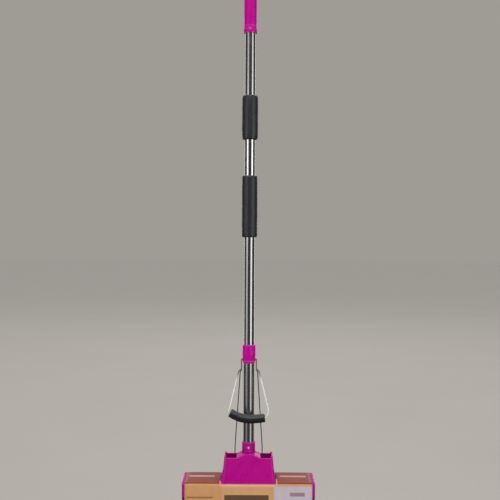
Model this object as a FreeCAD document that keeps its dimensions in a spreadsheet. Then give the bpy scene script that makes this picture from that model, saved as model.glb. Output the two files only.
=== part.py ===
import FreeCAD, Part
import math
import os
import re

import Sketcher
from FreeCAD import Placement, Rotation, Vector

# Sponge mop with a roller wringer, in millimetres.
# +Z is up, -Y is the front, X runs along the head. The sponge stands on z = 0.

# ----------------------------------------------------------------------------
# Driving sizes: each is written once here and becomes an aliased cell.
# ----------------------------------------------------------------------------
SIZES = {
    # Clearances shared by all pieces.
    "pole_fit": 0.05,
    "axle_fit": 0.07,
    "wire_fit": 0.06,
    "screw_fit": 0.05,
    "loose_gap": 0.3,
    # Pole: thin steel tube.
    "pole_radius": 11.0,
    "pole_wall": 0.6,
    "pole_length": 1044.0,
    # Top handle.
    "handle_length": 159.3,
    "handle_tab": 35.0,
    "handle_wall": 2.2,
    "handle_flange": 1.1,
    "handle_flange_height": 5.0,
    "handle_flange_taper": 6.0,
    "handle_ring": 0.6,
    "handle_ring_z": 12.6,
    "handle_ring_height": 2.0,
    "handle_top_round": 9.0,
    "handle_tab_half": 7.0,
    "hang_hole_radius": 4.5,
    "hang_hole_drop": 15.0,
    "handle_screw_z": 24.0,
    # Foam grips on the pole.
    "foam_wall": 5.5,
    "foam_end_round": 3.5,
    "upper_foam_drop": 132.3,
    "upper_foam_length": 93.6,
    "foam_spacing": 76.1,
    "lower_foam_length": 130.5,
    # Collar that carries the lever.
    "collar_rise": 166.5,
    "collar_height": 39.7,
    "collar_wall": 1.2,
    "collar_lip": 0.8,
    "collar_lip_z": 3.0,
    "collar_lip_height": 2.2,
    "collar_shoulder_rise": 14.0,
    "collar_shoulder": 1.8,
    "collar_top_round": 3.0,
    "collar_screw_z": 29.5,
    "pivot_rise": 8.5,
    "ear_radius": 3.6,
    "ear_height": 1.8,
    # Pull lever, bent from one wire. Drops are measured down the lever from its pivot.
    "wire_radius": 1.3,
    "lever_tilt": 11.0,
    "crank_arm": 24.6,
    "crank_side_gap": 0.5,
    "lever_half_width": 42.3,
    "lever_knee_bend": 4.0,
    "lever_leg_drop": 110.0,
    "lever_heel_half": 36.0,
    "lever_heel_drop": 121.5,
    "lever_grip_drop": 125.5,
    "lever_grip_bend": 80.0,
    "lever_toe_half": 20.0,
    "lever_toe_drop": 121.0,
    "lever_toe_bend": 45.0,
    "lever_foam_radius": 9.2,
    "lever_foam_round": 1.6,
    # Pull rods and the nuts that hold them to the sponge channel.
    "rod_radius": 1.0,
    "rod_half_spacing": 28.7,
    "rod_straight_rise": 20.0,
    "rod_bend": 60.0,
    "rod_hook_gap": 0.6,
    "rod_hook_turn": 85.0,
    "nut_across": 7.0,
    "nut_height": 3.2,
    # Head housing: tower, neck and two rails.
    "tower_height": 50.4,
    "tower_foot_half_x": 56.0,
    "tower_foot_inset": 2.2,
    "tower_roof_half_x": 51.0,
    "tower_roof_half_y": 21.0,
    "tower_wall": 2.5,
    "tower_corner": 6.0,
    "gable_half": 25.0,
    "gable_rise": 7.2,
    "gable_crown_half": 13.0,
    "gable_crown_rise": 1.6,
    "roof_thickness": 2.0,
    "roof_sink": 0.8,
    "cheek_width": 4.4,
    "cheek_rise": 3.4,
    "web_half_spacing": 9.0,
    "web_thickness": 2.4,
    "neck_sink": 27.0,
    "neck_height": 57.0,
    "neck_floor": 3.0,
    "neck_wall": 2.75,
    "neck_round": 1.0,
    "neck_screw_drop": 10.0,
    "neck_screw_sink": 0.6,
    "neck_nub_radius": 1.5,
    "neck_nub_drop": 7.5,
    "screw_boss_radius": 3.6,
    "screw_boss_height": 0.8,
    "head_half_length": 133.0,
    "rail_reach": 5.2,
    "rail_skirt": 16.6,
    "rail_chamfer": 3.0,
    "rail_rise": 3.6,
    "rail_wall": 2.5,
    "slot_half": 11.0,
    "notch_half": 9.5,
    "notch_rise": 0.2,
    "foot_flange": 1.0,
    "foot_flange_height": 2.5,
    "foot_flange_half_y": 27.0,
    "foot_rib_rise": 12.0,
    "foot_rib_thickness": 2.0,
    "foot_rib_y": 20.0,
    "foot_groove_depth": 1.1,
    "foot_groove_height": 1.4,
    "foot_groove_sink": 1.4,
    "end_boss_inset": 6.9,
    "end_boss_drop": 0.9,
    "end_boss_radius": 3.4,
    "end_boss_length": 14.0,
    # End plates.
    "plate_thickness": 5.5,
    "plate_reach": 0.8,
    "plate_skirt": 25.0,
    "plate_drop": 1.0,
    "plate_bottom_half": 25.0,
    "plate_margin": 1.2,
    "plate_edge": 1.2,
    "panel_half": 22.0,
    "panel_margin": 5.0,
    "panel_height": 31.0,
    "panel_depth": 1.2,
    "axle_seat": 3.3,
    # Wringer rollers and their axles.
    "roller_radius": 9.0,
    "roller_rib": 0.9,
    "roller_rib_width": 2.0,
    "roller_end_gap": 0.8,
    "roller_clearance": 1.0,
    "roller_rest_gap": 5.9,
    "roller_pair_gap": 3.0,
    "lower_squeeze_half": 9.5,
    "upper_squeeze_half": 8.0,
    "axle_radius": 2.0,
    # Sponge, its channel and rivets.
    "sponge_end_gap": 2.5,
    "sponge_half_depth": 32.0,
    "sponge_height": 40.0,
    "sponge_shoulder": 10.0,
    "sponge_crown_half": 12.0,
    "sponge_edge": 1.5,
    "channel_inset": 6.5,
    "channel_half_depth": 6.5,
    "channel_wall": 1.2,
    "channel_height": 9.1,
    "rivet_radius": 1.5,
    "rivet_head_radius": 2.6,
    "rivet_head_height": 0.8,
    "rivet_inset": 12.0,
    "rivet_rise": 4.0,
    # Pan-head screws.
    "screw_radius": 1.5,
    "screw_head_radius": 2.6,
    "screw_head_height": 1.6,
    "screw_bite": 2.0,
    "screw_sink": 2.0,
    "cross_length": 3.2,
    "cross_width": 0.7,
    "cross_depth": 0.8,
    "end_screw_length": 13.0,
    # Card sleeve folded round the head.
    "card_thickness": 0.9,
    "card_bottom_z": 8.0,
    "card_front_rise": 0.6,
    "card_end_gap": 0.4,
    "card_tower_gap": 0.6,
}

ROLLER_RIBS = 10

# ----------------------------------------------------------------------------
# Places and fits that follow from the driving sizes.
# ----------------------------------------------------------------------------
DERIVED = {
    # Sponge carrier, from the floor up.
    "sponge_half_length": "head_half_length - sponge_end_gap",
    "channel_half_length": "sponge_half_length - channel_inset",
    "channel_top_z": "sponge_height + channel_height",
    "ridge_half": "channel_half_depth - channel_wall - loose_gap",
    "ridge_top_z": "rod_foot_z - loose_gap",
    "rivet_z": "sponge_height + rivet_rise",
    "rivet_outer_x": "channel_half_length - rivet_inset",
    "rod_foot_z": "channel_top_z - channel_wall",
    # Wringer.
    "lower_axle_z": "channel_top_z + roller_rest_gap + roller_radius",
    "upper_axle_z": "lower_axle_z + roller_radius * 2 + roller_pair_gap",
    "lower_axle_y": "lower_squeeze_half + roller_radius",
    "upper_axle_y": "upper_squeeze_half + roller_radius",
    "roller_core": "roller_radius - roller_rib",
    "roller_half_length": "head_half_length - roller_end_gap",
    "roller_bore": "axle_radius + axle_fit",
    "axle_half_length": "head_half_length + axle_seat - loose_gap",
    # Rails and end plates.
    "fold": "tan(22.5)",
    "rail_top_z": "upper_axle_z + roller_radius + rail_rise",
    "rail_shoulder_z": "rail_top_z - rail_chamfer",
    "rail_skirt_z": "rail_shoulder_z - rail_skirt",
    "rail_half_depth": "sponge_half_depth + rail_reach",
    "rail_top_half": "rail_half_depth - rail_chamfer",
    "end_boss_y": "rail_half_depth - end_boss_inset",
    "end_boss_z": "rail_shoulder_z - end_boss_drop",
    "plate_half_depth": "rail_half_depth + plate_reach",
    "plate_top_z": "rail_top_z + plate_margin",
    "plate_shoulder_z": "plate_top_z - (plate_half_depth - rail_top_half)",
    "plate_lower_z": "plate_shoulder_z - plate_skirt",
    "plate_bottom_z": "lower_axle_z - roller_radius - plate_drop",
    "panel_bottom_z": "plate_bottom_z + panel_margin",
    # Tower and neck.
    "tower_foot_z": "rail_shoulder_z",
    "tower_foot_half_y": "rail_half_depth - tower_foot_inset",
    "tower_roof_z": "tower_foot_z + tower_height",
    "gable_top_z": "tower_roof_z + gable_rise",
    "tower_crown_z": "gable_top_z + 2 * neck_round",
    "crown_share": "(tower_crown_z - tower_roof_z) / tower_height",
    "tower_crown_half_x": "tower_roof_half_x - (tower_foot_half_x - tower_roof_half_x) * crown_share",
    "tower_crown_half_y": "tower_roof_half_y - (tower_foot_half_y - tower_roof_half_y) * crown_share",
    "tower_lean_x": "(tower_foot_half_x - tower_roof_half_x) / tower_height",
    "tower_lean_y": "(tower_foot_half_y - tower_roof_half_y) / tower_height",
    "web_foot_half": "tower_foot_half_y - tower_lean_y * (neck_bottom_z - tower_foot_z) - tower_wall / 2",
    "web_top_half": "tower_crown_half_y - tower_wall / 2",
    "flange_half_x": "tower_foot_half_x + foot_flange",
    "foot_groove_y": "tower_foot_half_y - tower_lean_y * rail_chamfer - foot_groove_depth",
    "notch_top_z": "rail_top_z + notch_rise",
    "neck_radius": "pole_radius + neck_wall",
    "neck_bottom_z": "tower_roof_z - neck_sink",
    "neck_top_z": "neck_bottom_z + neck_height",
    "neck_screw_z": "neck_top_z - neck_screw_drop",
    "neck_seat_y": "neck_radius + screw_boss_height - neck_screw_sink - screw_head_height",
    # Pole and what stands on it.
    "pole_bore": "pole_radius + pole_fit",
    "pole_foot_z": "neck_bottom_z + neck_floor",
    "pole_top_z": "pole_foot_z + pole_length",
    "handle_radius": "pole_radius + handle_wall",
    "handle_flange_radius": "handle_radius + handle_flange",
    "handle_ring_radius": "handle_radius + handle_ring",
    "handle_bore": "handle_length - handle_tab",
    "handle_z": "pole_top_z - handle_bore",
    "handle_seat_y": "handle_radius - screw_head_height / 2",
    "foam_radius": "pole_radius + foam_wall",
    "upper_foam_z": "handle_z - upper_foam_drop - upper_foam_length",
    "lower_foam_z": "upper_foam_z - foam_spacing - lower_foam_length",
    "screw_hole": "screw_radius + screw_fit",
    "screw_pocket": "screw_head_radius + screw_fit * 2",
    # Collar and lever.
    "collar_z": "neck_top_z + collar_rise",
    "collar_skirt_radius": "pole_radius + collar_wall",
    "collar_lip_radius": "collar_skirt_radius + collar_lip",
    "collar_shoulder_radius": "collar_skirt_radius + collar_shoulder",
    "collar_shoulder_z": "collar_lip_z + collar_lip_height + collar_shoulder_rise",
    "collar_seat_y": "collar_shoulder_radius - screw_head_height / 2",
    "ear_reach": "collar_skirt_radius + ear_height",
    "pivot_z": "collar_z + pivot_rise",
    "wire_bend": "wire_radius + loose_gap",
    "leg_x": "ear_reach + wire_bend",
    "crank_jog": "(wire_radius + rod_radius + crank_side_gap) * 2",
    "hook_x": "leg_x + crank_jog / 2",
    "hook_radius": "wire_radius + rod_radius + rod_hook_gap",
    "hook_y": "-crank_arm * sin(lever_tilt)",
    "hook_z": "pivot_z - crank_arm * cos(lever_tilt)",
    "rod_straight_z": "tower_roof_z + rod_straight_rise",
    # Card sleeve.
    "card_out": "loose_gap + card_thickness",
    "card_front_top_z": "rail_shoulder_z + card_front_rise",
}

doc = FreeCAD.newDocument("sponge_mop")
sheet = doc.addObject("Spreadsheet::Sheet", "Sizes")
for row, (alias, number) in enumerate(SIZES.items(), start=1):
    cell = "A%d" % row
    sheet.set(cell, str(number))
    sheet.setAlias(cell, alias)
doc.recompute()

parts = []


# ----------------------------------------------------------------------------
# Expressions
# ----------------------------------------------------------------------------
def bound(text):
    """Spell a formula of size names out as an expression on the sheet."""
    def spell(match):
        word = match.group(0)
        if word in SIZES:
            return "Sizes." + word
        if word in DERIVED:
            return "(" + bound(DERIVED[word]) + ")"
        return word
    return re.sub(r"[a-z][a-z_]*", spell, text)


def value(text):
    """Work a formula of size names out as a plain number."""
    return float(sheet.evalExpression(bound(text)))


def minus(text):
    return "-(" + text + ")"


def place(item, x="0", y="0", z="0", rotation=None):
    """Put an object at a place that stays bound to the sheet."""
    item.Placement = Placement(Vector(value(x), value(y), value(z)), rotation or Rotation())
    for axis, text in (("x", x), ("y", y), ("z", z)):
        item.setExpression("Placement.Base." + axis, bound(text))


# ----------------------------------------------------------------------------
# Sketches
# ----------------------------------------------------------------------------
def new_body(label, keep=True):
    """Start a body. A body that is not kept is only the pattern of a group."""
    body = doc.addObject("PartDesign::Body", label)
    body.Label = label
    if keep:
        parts.append(body)
    return body


def origin_plane(body, role):
    return next(item for item in body.Origin.OriginFeatures if item.Role == role)


def sketch_on(body, role, offset="0"):
    """Attach a sketch to an origin plane, moved along that plane's normal."""
    sketch = body.newObject("Sketcher::SketchObject", "Sketch")
    sketch.AttachmentSupport = [(origin_plane(body, role), "")]
    sketch.MapMode = "FlatFace"
    sketch.setExpression("AttachmentOffset.Base.z", bound(offset))
    return sketch


def bind_point(sketch, geometry, end, x, y):
    """Hold one point of a sketch at x, y from the sketch's origin."""
    for kind, text, axis in (("DistanceX", x, -2), ("DistanceY", y, -1)):
        number = value(text)
        if abs(number) < 1e-9:
            sketch.addConstraint(Sketcher.Constraint("PointOnObject", geometry, end, axis))
        elif number > 0:
            made = sketch.addConstraint(Sketcher.Constraint(kind, -1, 1, geometry, end, number))
            sketch.setExpression("Constraints[%d]" % made, bound(text))
        else:
            made = sketch.addConstraint(Sketcher.Constraint(kind, geometry, end, -1, 1, -number))
            sketch.setExpression("Constraints[%d]" % made, bound(minus(text)))


def polygon(sketch, points):
    """Draw a closed outline through points given as pairs of formulas."""
    corners = [Vector(value(x), value(y), 0) for x, y in points]
    lines = []
    for here, there in zip(corners, corners[1:] + corners[:1]):
        lines.append(sketch.addGeometry(Part.LineSegment(here, there), False))
    for line, following in zip(lines, lines[1:] + lines[:1]):
        sketch.addConstraint(Sketcher.Constraint("Coincident", line, 2, following, 1))
    for line, (x, y) in zip(lines, points):
        bind_point(sketch, line, 1, x, y)


def rectangle(sketch, x_low, x_high, y_low, y_high):
    polygon(sketch, [(x_low, y_low), (x_high, y_low), (x_high, y_high), (x_low, y_high)])


def rounded_rectangle(sketch, half_x, half_y, corner):
    """Draw a centred rectangle whose corners are tangent arcs, anticlockwise from its lower side."""
    flat_x = half_x + " - (" + corner + ")"
    flat_y = half_y + " - (" + corner + ")"
    sides = [
        ((minus(flat_x), minus(half_y)), (flat_x, minus(half_y))),
        ((half_x, minus(flat_y)), (half_x, flat_y)),
        ((flat_x, half_y), (minus(flat_x), half_y)),
        ((minus(half_x), flat_y), (minus(half_x), minus(flat_y))),
    ]
    centres = [(flat_x, minus(flat_y)), (flat_x, flat_y), (minus(flat_x), flat_y),
               (minus(flat_x), minus(flat_y))]
    lines = []
    for ends in sides:
        start, end = (Vector(value(x), value(y), 0) for x, y in ends)
        lines.append(sketch.addGeometry(Part.LineSegment(start, end), False))
    arcs = []
    for turn, (x, y) in enumerate(centres):
        ring = Part.Circle(Vector(value(x), value(y), 0), Vector(0, 0, 1), value(corner))
        begin = math.radians(90 * (turn - 1))
        arcs.append(sketch.addGeometry(Part.ArcOfCircle(ring, begin, begin + math.pi / 2), False))
    for line, ends in zip(lines, sides):
        for end, (x, y) in enumerate(ends, start=1):
            bind_point(sketch, line, end, x, y)
    for line, arc, following in zip(lines, arcs, lines[1:] + lines[:1]):
        sketch.addConstraint(Sketcher.Constraint("Tangent", line, 2, arc, 1))
        sketch.addConstraint(Sketcher.Constraint("Coincident", arc, 2, following, 1))


def circle(sketch, radius, x="0", y="0"):
    ring = Part.Circle(Vector(value(x), value(y), 0), Vector(0, 0, 1), value(radius))
    made = sketch.addGeometry(ring, False)
    bind_point(sketch, made, 3, x, y)
    size = sketch.addConstraint(Sketcher.Constraint("Radius", made, value(radius)))
    sketch.setExpression("Constraints[%d]" % size, bound(radius))


def mirrored_outline(right_side):
    """Complete an outline by mirroring its right side, listed from the bottom up."""
    return right_side + [(minus(x), y) for x, y in reversed(right_side)]


# ----------------------------------------------------------------------------
# Features
# ----------------------------------------------------------------------------
def extrude(body, kind, sketch, length, side="One side", reverse=False):
    feature = body.newObject("PartDesign::" + kind, kind)
    feature.Profile = sketch
    feature.SideType = side
    feature.Reversed = reverse
    feature.setExpression("Length", bound(length))
    doc.recompute()
    return feature


def pad(body, sketch, length, **options):
    return extrude(body, "Pad", sketch, length, **options)


def pocket(body, sketch, length, **options):
    """Cut, and make sure that something was cut."""
    before = body.Shape.Volume
    feature = extrude(body, "Pocket", sketch, length, **options)
    if body.Shape.Volume > before - 1e-3:
        raise ValueError("a pocket in %s cuts nothing" % body.Label)
    return feature


def revolve(body, points):
    """Turn an outline of (radius, z) points about the Z axis."""
    sketch = sketch_on(body, "XZ_Plane")
    polygon(sketch, points)
    feature = body.newObject("PartDesign::Revolution", "Revolution")
    feature.Profile = sketch
    feature.ReferenceAxis = (sketch, ["V_Axis"])
    feature.Angle = 360
    doc.recompute()
    return feature


def mirror(body, originals, role):
    feature = body.newObject("PartDesign::Mirrored", "Mirrored")
    feature.Originals = originals
    feature.MirrorPlane = (origin_plane(body, role), [""])
    body.Tip = feature
    doc.recompute()
    return feature


def soften(body, kind, size, picks):
    """Fillet or chamfer those edges of the body so far that picks accepts."""
    base = body.Tip
    names = ["Edge%d" % n for n, edge in enumerate(base.Shape.Edges, start=1) if picks(edge)]
    if not names:
        raise ValueError("no edge to soften in %s" % body.Label)
    feature = body.newObject("PartDesign::" + kind, kind)
    feature.Base = (base, names)
    feature.setExpression("Radius" if kind == "Fillet" else "Size", bound(size))
    doc.recompute()
    return feature


def ring_at(z, radius):
    """Pick the whole circle of that radius that lies at height z."""
    def picks(edge):
        box = edge.BoundBox
        flat = box.ZLength < 1e-4 and abs(box.ZMin - value(z)) < 1e-4
        return flat and abs(box.XMax - value(radius)) < 1e-3 and abs(box.XMin + value(radius)) < 1e-3
    return picks


def group(label, pattern, placements):
    """Put copies of one pattern body in a node of their own."""
    item = doc.addObject("Part::Feature", label)
    item.Label = label
    copies = []
    for spot in placements:
        copy = pattern.Shape.copy()
        copy.Placement = spot
        copies.append(copy)
    item.Shape = Part.Compound(copies)
    item.Placement = Placement()
    parts.append(item)
    return item


# ----------------------------------------------------------------------------
# Bent wires
# ----------------------------------------------------------------------------
def bend_frame(before, corner, after, radius):
    """Give both directions out of a bend's corner, half the angle between them and its reach."""
    back = (before - corner).normalize()
    onward = (after - corner).normalize()
    half_inside = back.getAngle(onward) / 2
    return back, onward, half_inside, radius / math.tan(half_inside)


def bent_path(points, bends):
    """Join points by straight runs and tangent arcs, one bend radius per inner point."""
    edges = []
    start = points[0]
    for before, corner, after, radius in zip(points, points[1:], points[2:], bends):
        back, onward, half_inside, reach = bend_frame(before, corner, after, radius)
        bisector = (back + onward).normalize()
        middle = corner + bisector * (radius / math.sin(half_inside) - radius)
        edges.append(Part.LineSegment(start, corner + back * reach).toShape())
        edges.append(Part.Arc(corner + back * reach, middle, corner + onward * reach).toShape())
        start = corner + onward * reach
    edges.append(Part.LineSegment(start, points[-1]).toShape())
    return Part.Wire(edges)


def swept(path, radius):
    """Sweep a round section along a path of lines and tangent arcs."""
    first = path.Edges[0]
    start = first.valueAt(first.FirstParameter)
    section = Part.Wire(Part.makeCircle(radius, start, first.tangentAt(first.FirstParameter)))
    solid = path.makePipeShell([section], True, False)
    expected = math.pi * radius ** 2 * path.Length
    if abs(solid.Volume - expected) > 0.01 * expected:
        raise ValueError("a sweep of radius %g has the wrong volume" % radius)
    return solid


# ----------------------------------------------------------------------------
# Pole, handle and foam grips
# ----------------------------------------------------------------------------
def make_pole_tube():
    body = new_body("pole_tube")
    sketch = sketch_on(body, "XY_Plane")
    circle(sketch, "pole_radius")
    circle(sketch, "pole_radius - pole_wall")
    pad(body, sketch, "pole_length")
    holes = (
        ("neck_screw_z - pole_foot_z", True),
        ("collar_z + collar_screw_z - pole_foot_z", False),
        ("handle_z + handle_screw_z - pole_foot_z", False),
    )
    for height, front in holes:
        sketch = sketch_on(body, "XZ_Plane")
        circle(sketch, "screw_hole", "0", height)
        pocket(body, sketch, "pole_radius + loose_gap", reverse=front)
    place(body, z="pole_foot_z")


def sink_rear_screw(body, height, seat, outside):
    """Cut a flat seat and a hole for a screw that enters from the rear."""
    sketch = sketch_on(body, "XZ_Plane", minus(outside))
    circle(sketch, "screw_pocket", "0", height)
    pocket(body, sketch, outside + " - (" + seat + ")", reverse=True)
    sketch = sketch_on(body, "XZ_Plane")
    circle(sketch, "screw_hole", "0", height)
    pocket(body, sketch, outside)


def make_handle_grip():
    body = new_body("handle_grip")
    revolve(body, [
        ("0", "0"),
        ("handle_flange_radius", "0"),
        ("handle_flange_radius", "handle_flange_height"),
        ("handle_radius", "handle_flange_height + handle_flange_taper"),
        ("handle_radius", "handle_ring_z"),
        ("handle_ring_radius", "handle_ring_z + handle_ring_radius - handle_radius"),
        ("handle_ring_radius", "handle_ring_z + handle_ring_height"),
        ("handle_radius", "handle_ring_z + handle_ring_height + handle_ring_radius - handle_radius"),
        ("handle_radius", "handle_length"),
        ("0", "handle_length"),
    ])
    soften(body, "Fillet", "handle_top_round", ring_at("handle_length", "handle_radius"))
    sketch = sketch_on(body, "YZ_Plane")
    rectangle(sketch, "handle_tab_half", "handle_radius * 2", "handle_bore + loose_gap * 10",
              "handle_length * 2")
    flat = pocket(body, sketch, "handle_radius * 4", side="Symmetric")
    mirror(body, [flat], "XZ_Plane")
    sketch = sketch_on(body, "XZ_Plane")
    circle(sketch, "hang_hole_radius", "0", "handle_length - hang_hole_drop")
    pocket(body, sketch, "handle_radius * 2", side="Symmetric")
    sketch = sketch_on(body, "XY_Plane")
    circle(sketch, "pole_bore")
    pocket(body, sketch, "handle_bore", reverse=True)
    sink_rear_screw(body, "handle_screw_z", "handle_seat_y", "handle_flange_radius")
    place(body, z="handle_z")


def make_foam_grip(label, height, length):
    body = new_body(label)
    sketch = sketch_on(body, "XY_Plane")
    circle(sketch, "foam_radius")
    circle(sketch, "pole_bore")
    pad(body, sketch, length)
    for end in ("0", length):
        soften(body, "Fillet", "foam_end_round", ring_at(end, "foam_radius"))
    place(body, z=height)


# ----------------------------------------------------------------------------
# Lever collar
# ----------------------------------------------------------------------------
def make_lever_collar():
    body = new_body("lever_collar")
    lip_edge = "collar_lip_radius - collar_skirt_radius"
    revolve(body, [
        ("0", "0"),
        ("collar_skirt_radius", "0"),
        ("collar_skirt_radius", "collar_lip_z"),
        ("collar_lip_radius", "collar_lip_z + (" + lip_edge + ") / 2"),
        ("collar_lip_radius", "collar_lip_z + collar_lip_height - (" + lip_edge + ") / 2"),
        ("collar_skirt_radius", "collar_lip_z + collar_lip_height"),
        ("collar_shoulder_radius", "collar_shoulder_z"),
        ("collar_shoulder_radius", "collar_height"),
        ("0", "collar_height"),
    ])
    soften(body, "Fillet", "collar_top_round", ring_at("collar_height", "collar_shoulder_radius"))
    sketch = sketch_on(body, "YZ_Plane")
    circle(sketch, "ear_radius", "0", "pivot_rise")
    pad(body, sketch, "ear_reach * 2", side="Symmetric")
    sketch = sketch_on(body, "YZ_Plane")
    circle(sketch, "wire_radius + wire_fit", "0", "pivot_rise")
    pocket(body, sketch, "ear_reach * 2", side="Symmetric")
    sketch = sketch_on(body, "XY_Plane")
    circle(sketch, "pole_bore")
    pocket(body, sketch, "collar_height", reverse=True)
    sink_rear_screw(body, "collar_screw_z", "collar_seat_y", "collar_shoulder_radius")
    place(body, z="collar_z")


# ----------------------------------------------------------------------------
# Screws
# ----------------------------------------------------------------------------
def make_screw(label, length, keep=True):
    """Pan-head screw whose head stands on z = 0, shank downwards."""
    body = new_body(label, keep)
    revolve(body, [
        ("0", minus(length)),
        ("screw_radius", minus(length)),
        ("screw_radius", "0"),
        ("screw_head_radius", "0"),
        ("screw_head_radius", "screw_head_height / 2"),
        ("screw_head_radius * 0.7", "screw_head_height"),
        ("0", "screw_head_height"),
    ])
    sketch = sketch_on(body, "XY_Plane", "screw_head_height")
    arm = "cross_length / 2"
    half = "cross_width / 2"
    quarter = [(arm, half), (half, half), (half, arm)]
    across = [(minus(x), y) for x, y in reversed(quarter)]
    upper = quarter + across
    polygon(sketch, upper + [(minus(x), minus(y)) for x, y in upper])
    pocket(body, sketch, "cross_depth")
    return body


def make_pole_screws():
    rear = Rotation(Vector(1, 0, 0), -90)
    front = Rotation(Vector(1, 0, 0), 90)
    bite = " - (pole_radius - screw_bite)"
    screw = make_screw("handle_screw", "handle_seat_y" + bite)
    place(screw, y="handle_seat_y", z="handle_z + handle_screw_z", rotation=rear)
    screw = make_screw("collar_screw", "collar_seat_y" + bite)
    place(screw, y="collar_seat_y", z="collar_z + collar_screw_z", rotation=rear)
    screw = make_screw("neck_screw", "neck_seat_y" + bite)
    place(screw, y=minus("neck_seat_y"), z="neck_screw_z", rotation=front)


# ----------------------------------------------------------------------------
# Head housing
# ----------------------------------------------------------------------------
def add_roof(body):
    """Roof between the gables, sloping from the neck down to the bays that the pull rods rise in."""
    sections = []
    for x, rise in (
        ("0", "gable_rise"),
        ("gable_crown_half", "gable_rise - gable_crown_rise"),
        ("gable_half", "0"),
    ):
        half = "tower_roof_half_y - tower_lean_y * (" + rise + ") - tower_wall / 2"
        top = "tower_roof_z + " + rise + " - roof_sink"
        sketch = sketch_on(body, "YZ_Plane", x)
        rectangle(sketch, minus(half), half, top + " - roof_thickness", top)
        sections.append(sketch)
    loft = body.newObject("PartDesign::AdditiveLoft", "Roof")
    loft.Profile = sections[0]
    loft.Sections = sections[1:]
    loft.Ruled = True
    doc.recompute()
    mirror(body, [loft], "YZ_Plane")


def add_tower(body):
    """Tapered shell, open below and at its two bays, with gabled walls and a cheek at each side."""
    for kind, wall in (("AdditiveLoft", "0"), ("SubtractiveLoft", "tower_wall")):
        foot = sketch_on(body, "XY_Plane", "tower_foot_z")
        rounded_rectangle(foot, "tower_foot_half_x - " + wall, "tower_foot_half_y - " + wall,
                          "tower_corner - " + wall)
        crown = sketch_on(body, "XY_Plane", "tower_crown_z")
        rounded_rectangle(crown, "tower_crown_half_x - " + wall, "tower_crown_half_y - " + wall,
                          "tower_corner - " + wall)
        loft = body.newObject("PartDesign::" + kind, kind)
        loft.Profile = foot
        loft.Sections = [crown]
        doc.recompute()
    sketch = sketch_on(body, "YZ_Plane", "web_half_spacing")
    polygon(sketch, mirrored_outline([
        ("web_foot_half", "neck_bottom_z"),
        ("web_top_half", "tower_crown_z"),
    ]))
    web = pad(body, sketch, "web_thickness", side="Symmetric")
    mirror(body, [web], "YZ_Plane")
    add_roof(body)
    cheek_x = "tower_roof_half_x - cheek_width"
    sketch = sketch_on(body, "XZ_Plane")
    polygon(sketch, mirrored_outline([
        ("gable_crown_half / 2", "gable_top_z"),
        ("gable_crown_half", "gable_top_z - gable_crown_rise"),
        ("gable_half", "tower_roof_z"),
        (cheek_x, "tower_roof_z"),
        (cheek_x, "tower_roof_z + cheek_rise"),
        ("tower_foot_half_x * 2", "tower_roof_z + cheek_rise"),
        ("tower_foot_half_x * 2", "tower_crown_z * 2"),
    ]))
    pocket(body, sketch, "tower_foot_half_y * 4", side="Symmetric")


def add_rails(body):
    """Two folded rails that hold the wringer's end plates, with a slot between them."""
    sketch = sketch_on(body, "YZ_Plane")
    polygon(sketch, [
        ("rail_half_depth", "rail_skirt_z"),
        ("rail_half_depth", "rail_shoulder_z"),
        ("rail_top_half", "rail_top_z"),
        ("slot_half", "rail_top_z"),
        ("slot_half", "rail_top_z - rail_wall"),
        ("rail_top_half - rail_wall * fold", "rail_top_z - rail_wall"),
        ("rail_half_depth - rail_wall", "rail_shoulder_z - rail_wall * fold"),
        ("rail_half_depth - rail_wall", "rail_skirt_z"),
    ])
    rail = pad(body, sketch, "head_half_length * 2", side="Symmetric")
    mirror(body, [rail], "XZ_Plane")
    sketch = sketch_on(body, "YZ_Plane", "head_half_length")
    for side in ("end_boss_y", minus("end_boss_y")):
        circle(sketch, "end_boss_radius", side, "end_boss_z")
    boss = pad(body, sketch, "end_boss_length", reverse=True)
    mirror(body, [boss], "YZ_Plane")
    sketch = sketch_on(body, "YZ_Plane", "head_half_length")
    for side in ("end_boss_y", minus("end_boss_y")):
        circle(sketch, "screw_hole", side, "end_boss_z")
    hole = pocket(body, sketch, "end_screw_length")
    mirror(body, [hole], "YZ_Plane")


def add_tower_foot(body):
    """Flange and ribs where the tower's sides stand on the rails."""
    inner = "tower_foot_half_x - tower_wall"
    sketch = sketch_on(body, "XY_Plane", "rail_top_z")
    for low, high in ((inner, "flange_half_x"), (minus("flange_half_x"), minus(inner))):
        rectangle(sketch, low, high, "slot_half", "foot_flange_half_y")
        rectangle(sketch, low, high, minus("foot_flange_half_y"), minus("slot_half"))
    pad(body, sketch, "foot_flange_height")
    sketch = sketch_on(body, "XZ_Plane", "foot_rib_y")
    top = "rail_top_z + foot_flange_height + foot_rib_rise"
    wall_at_top = "tower_foot_half_x - tower_lean_x * (" + top + " - tower_foot_z)"
    corners = [
        (inner, "rail_top_z"),
        ("flange_half_x", "rail_top_z"),
        ("flange_half_x", "rail_top_z + foot_flange_height"),
        (wall_at_top, top),
        (wall_at_top + " - tower_wall / 2", top),
    ]
    polygon(sketch, corners)
    polygon(sketch, [(minus(x), z) for x, z in corners])
    rib = pad(body, sketch, "foot_rib_thickness", side="Symmetric")
    mirror(body, [rib], "XZ_Plane")


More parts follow.
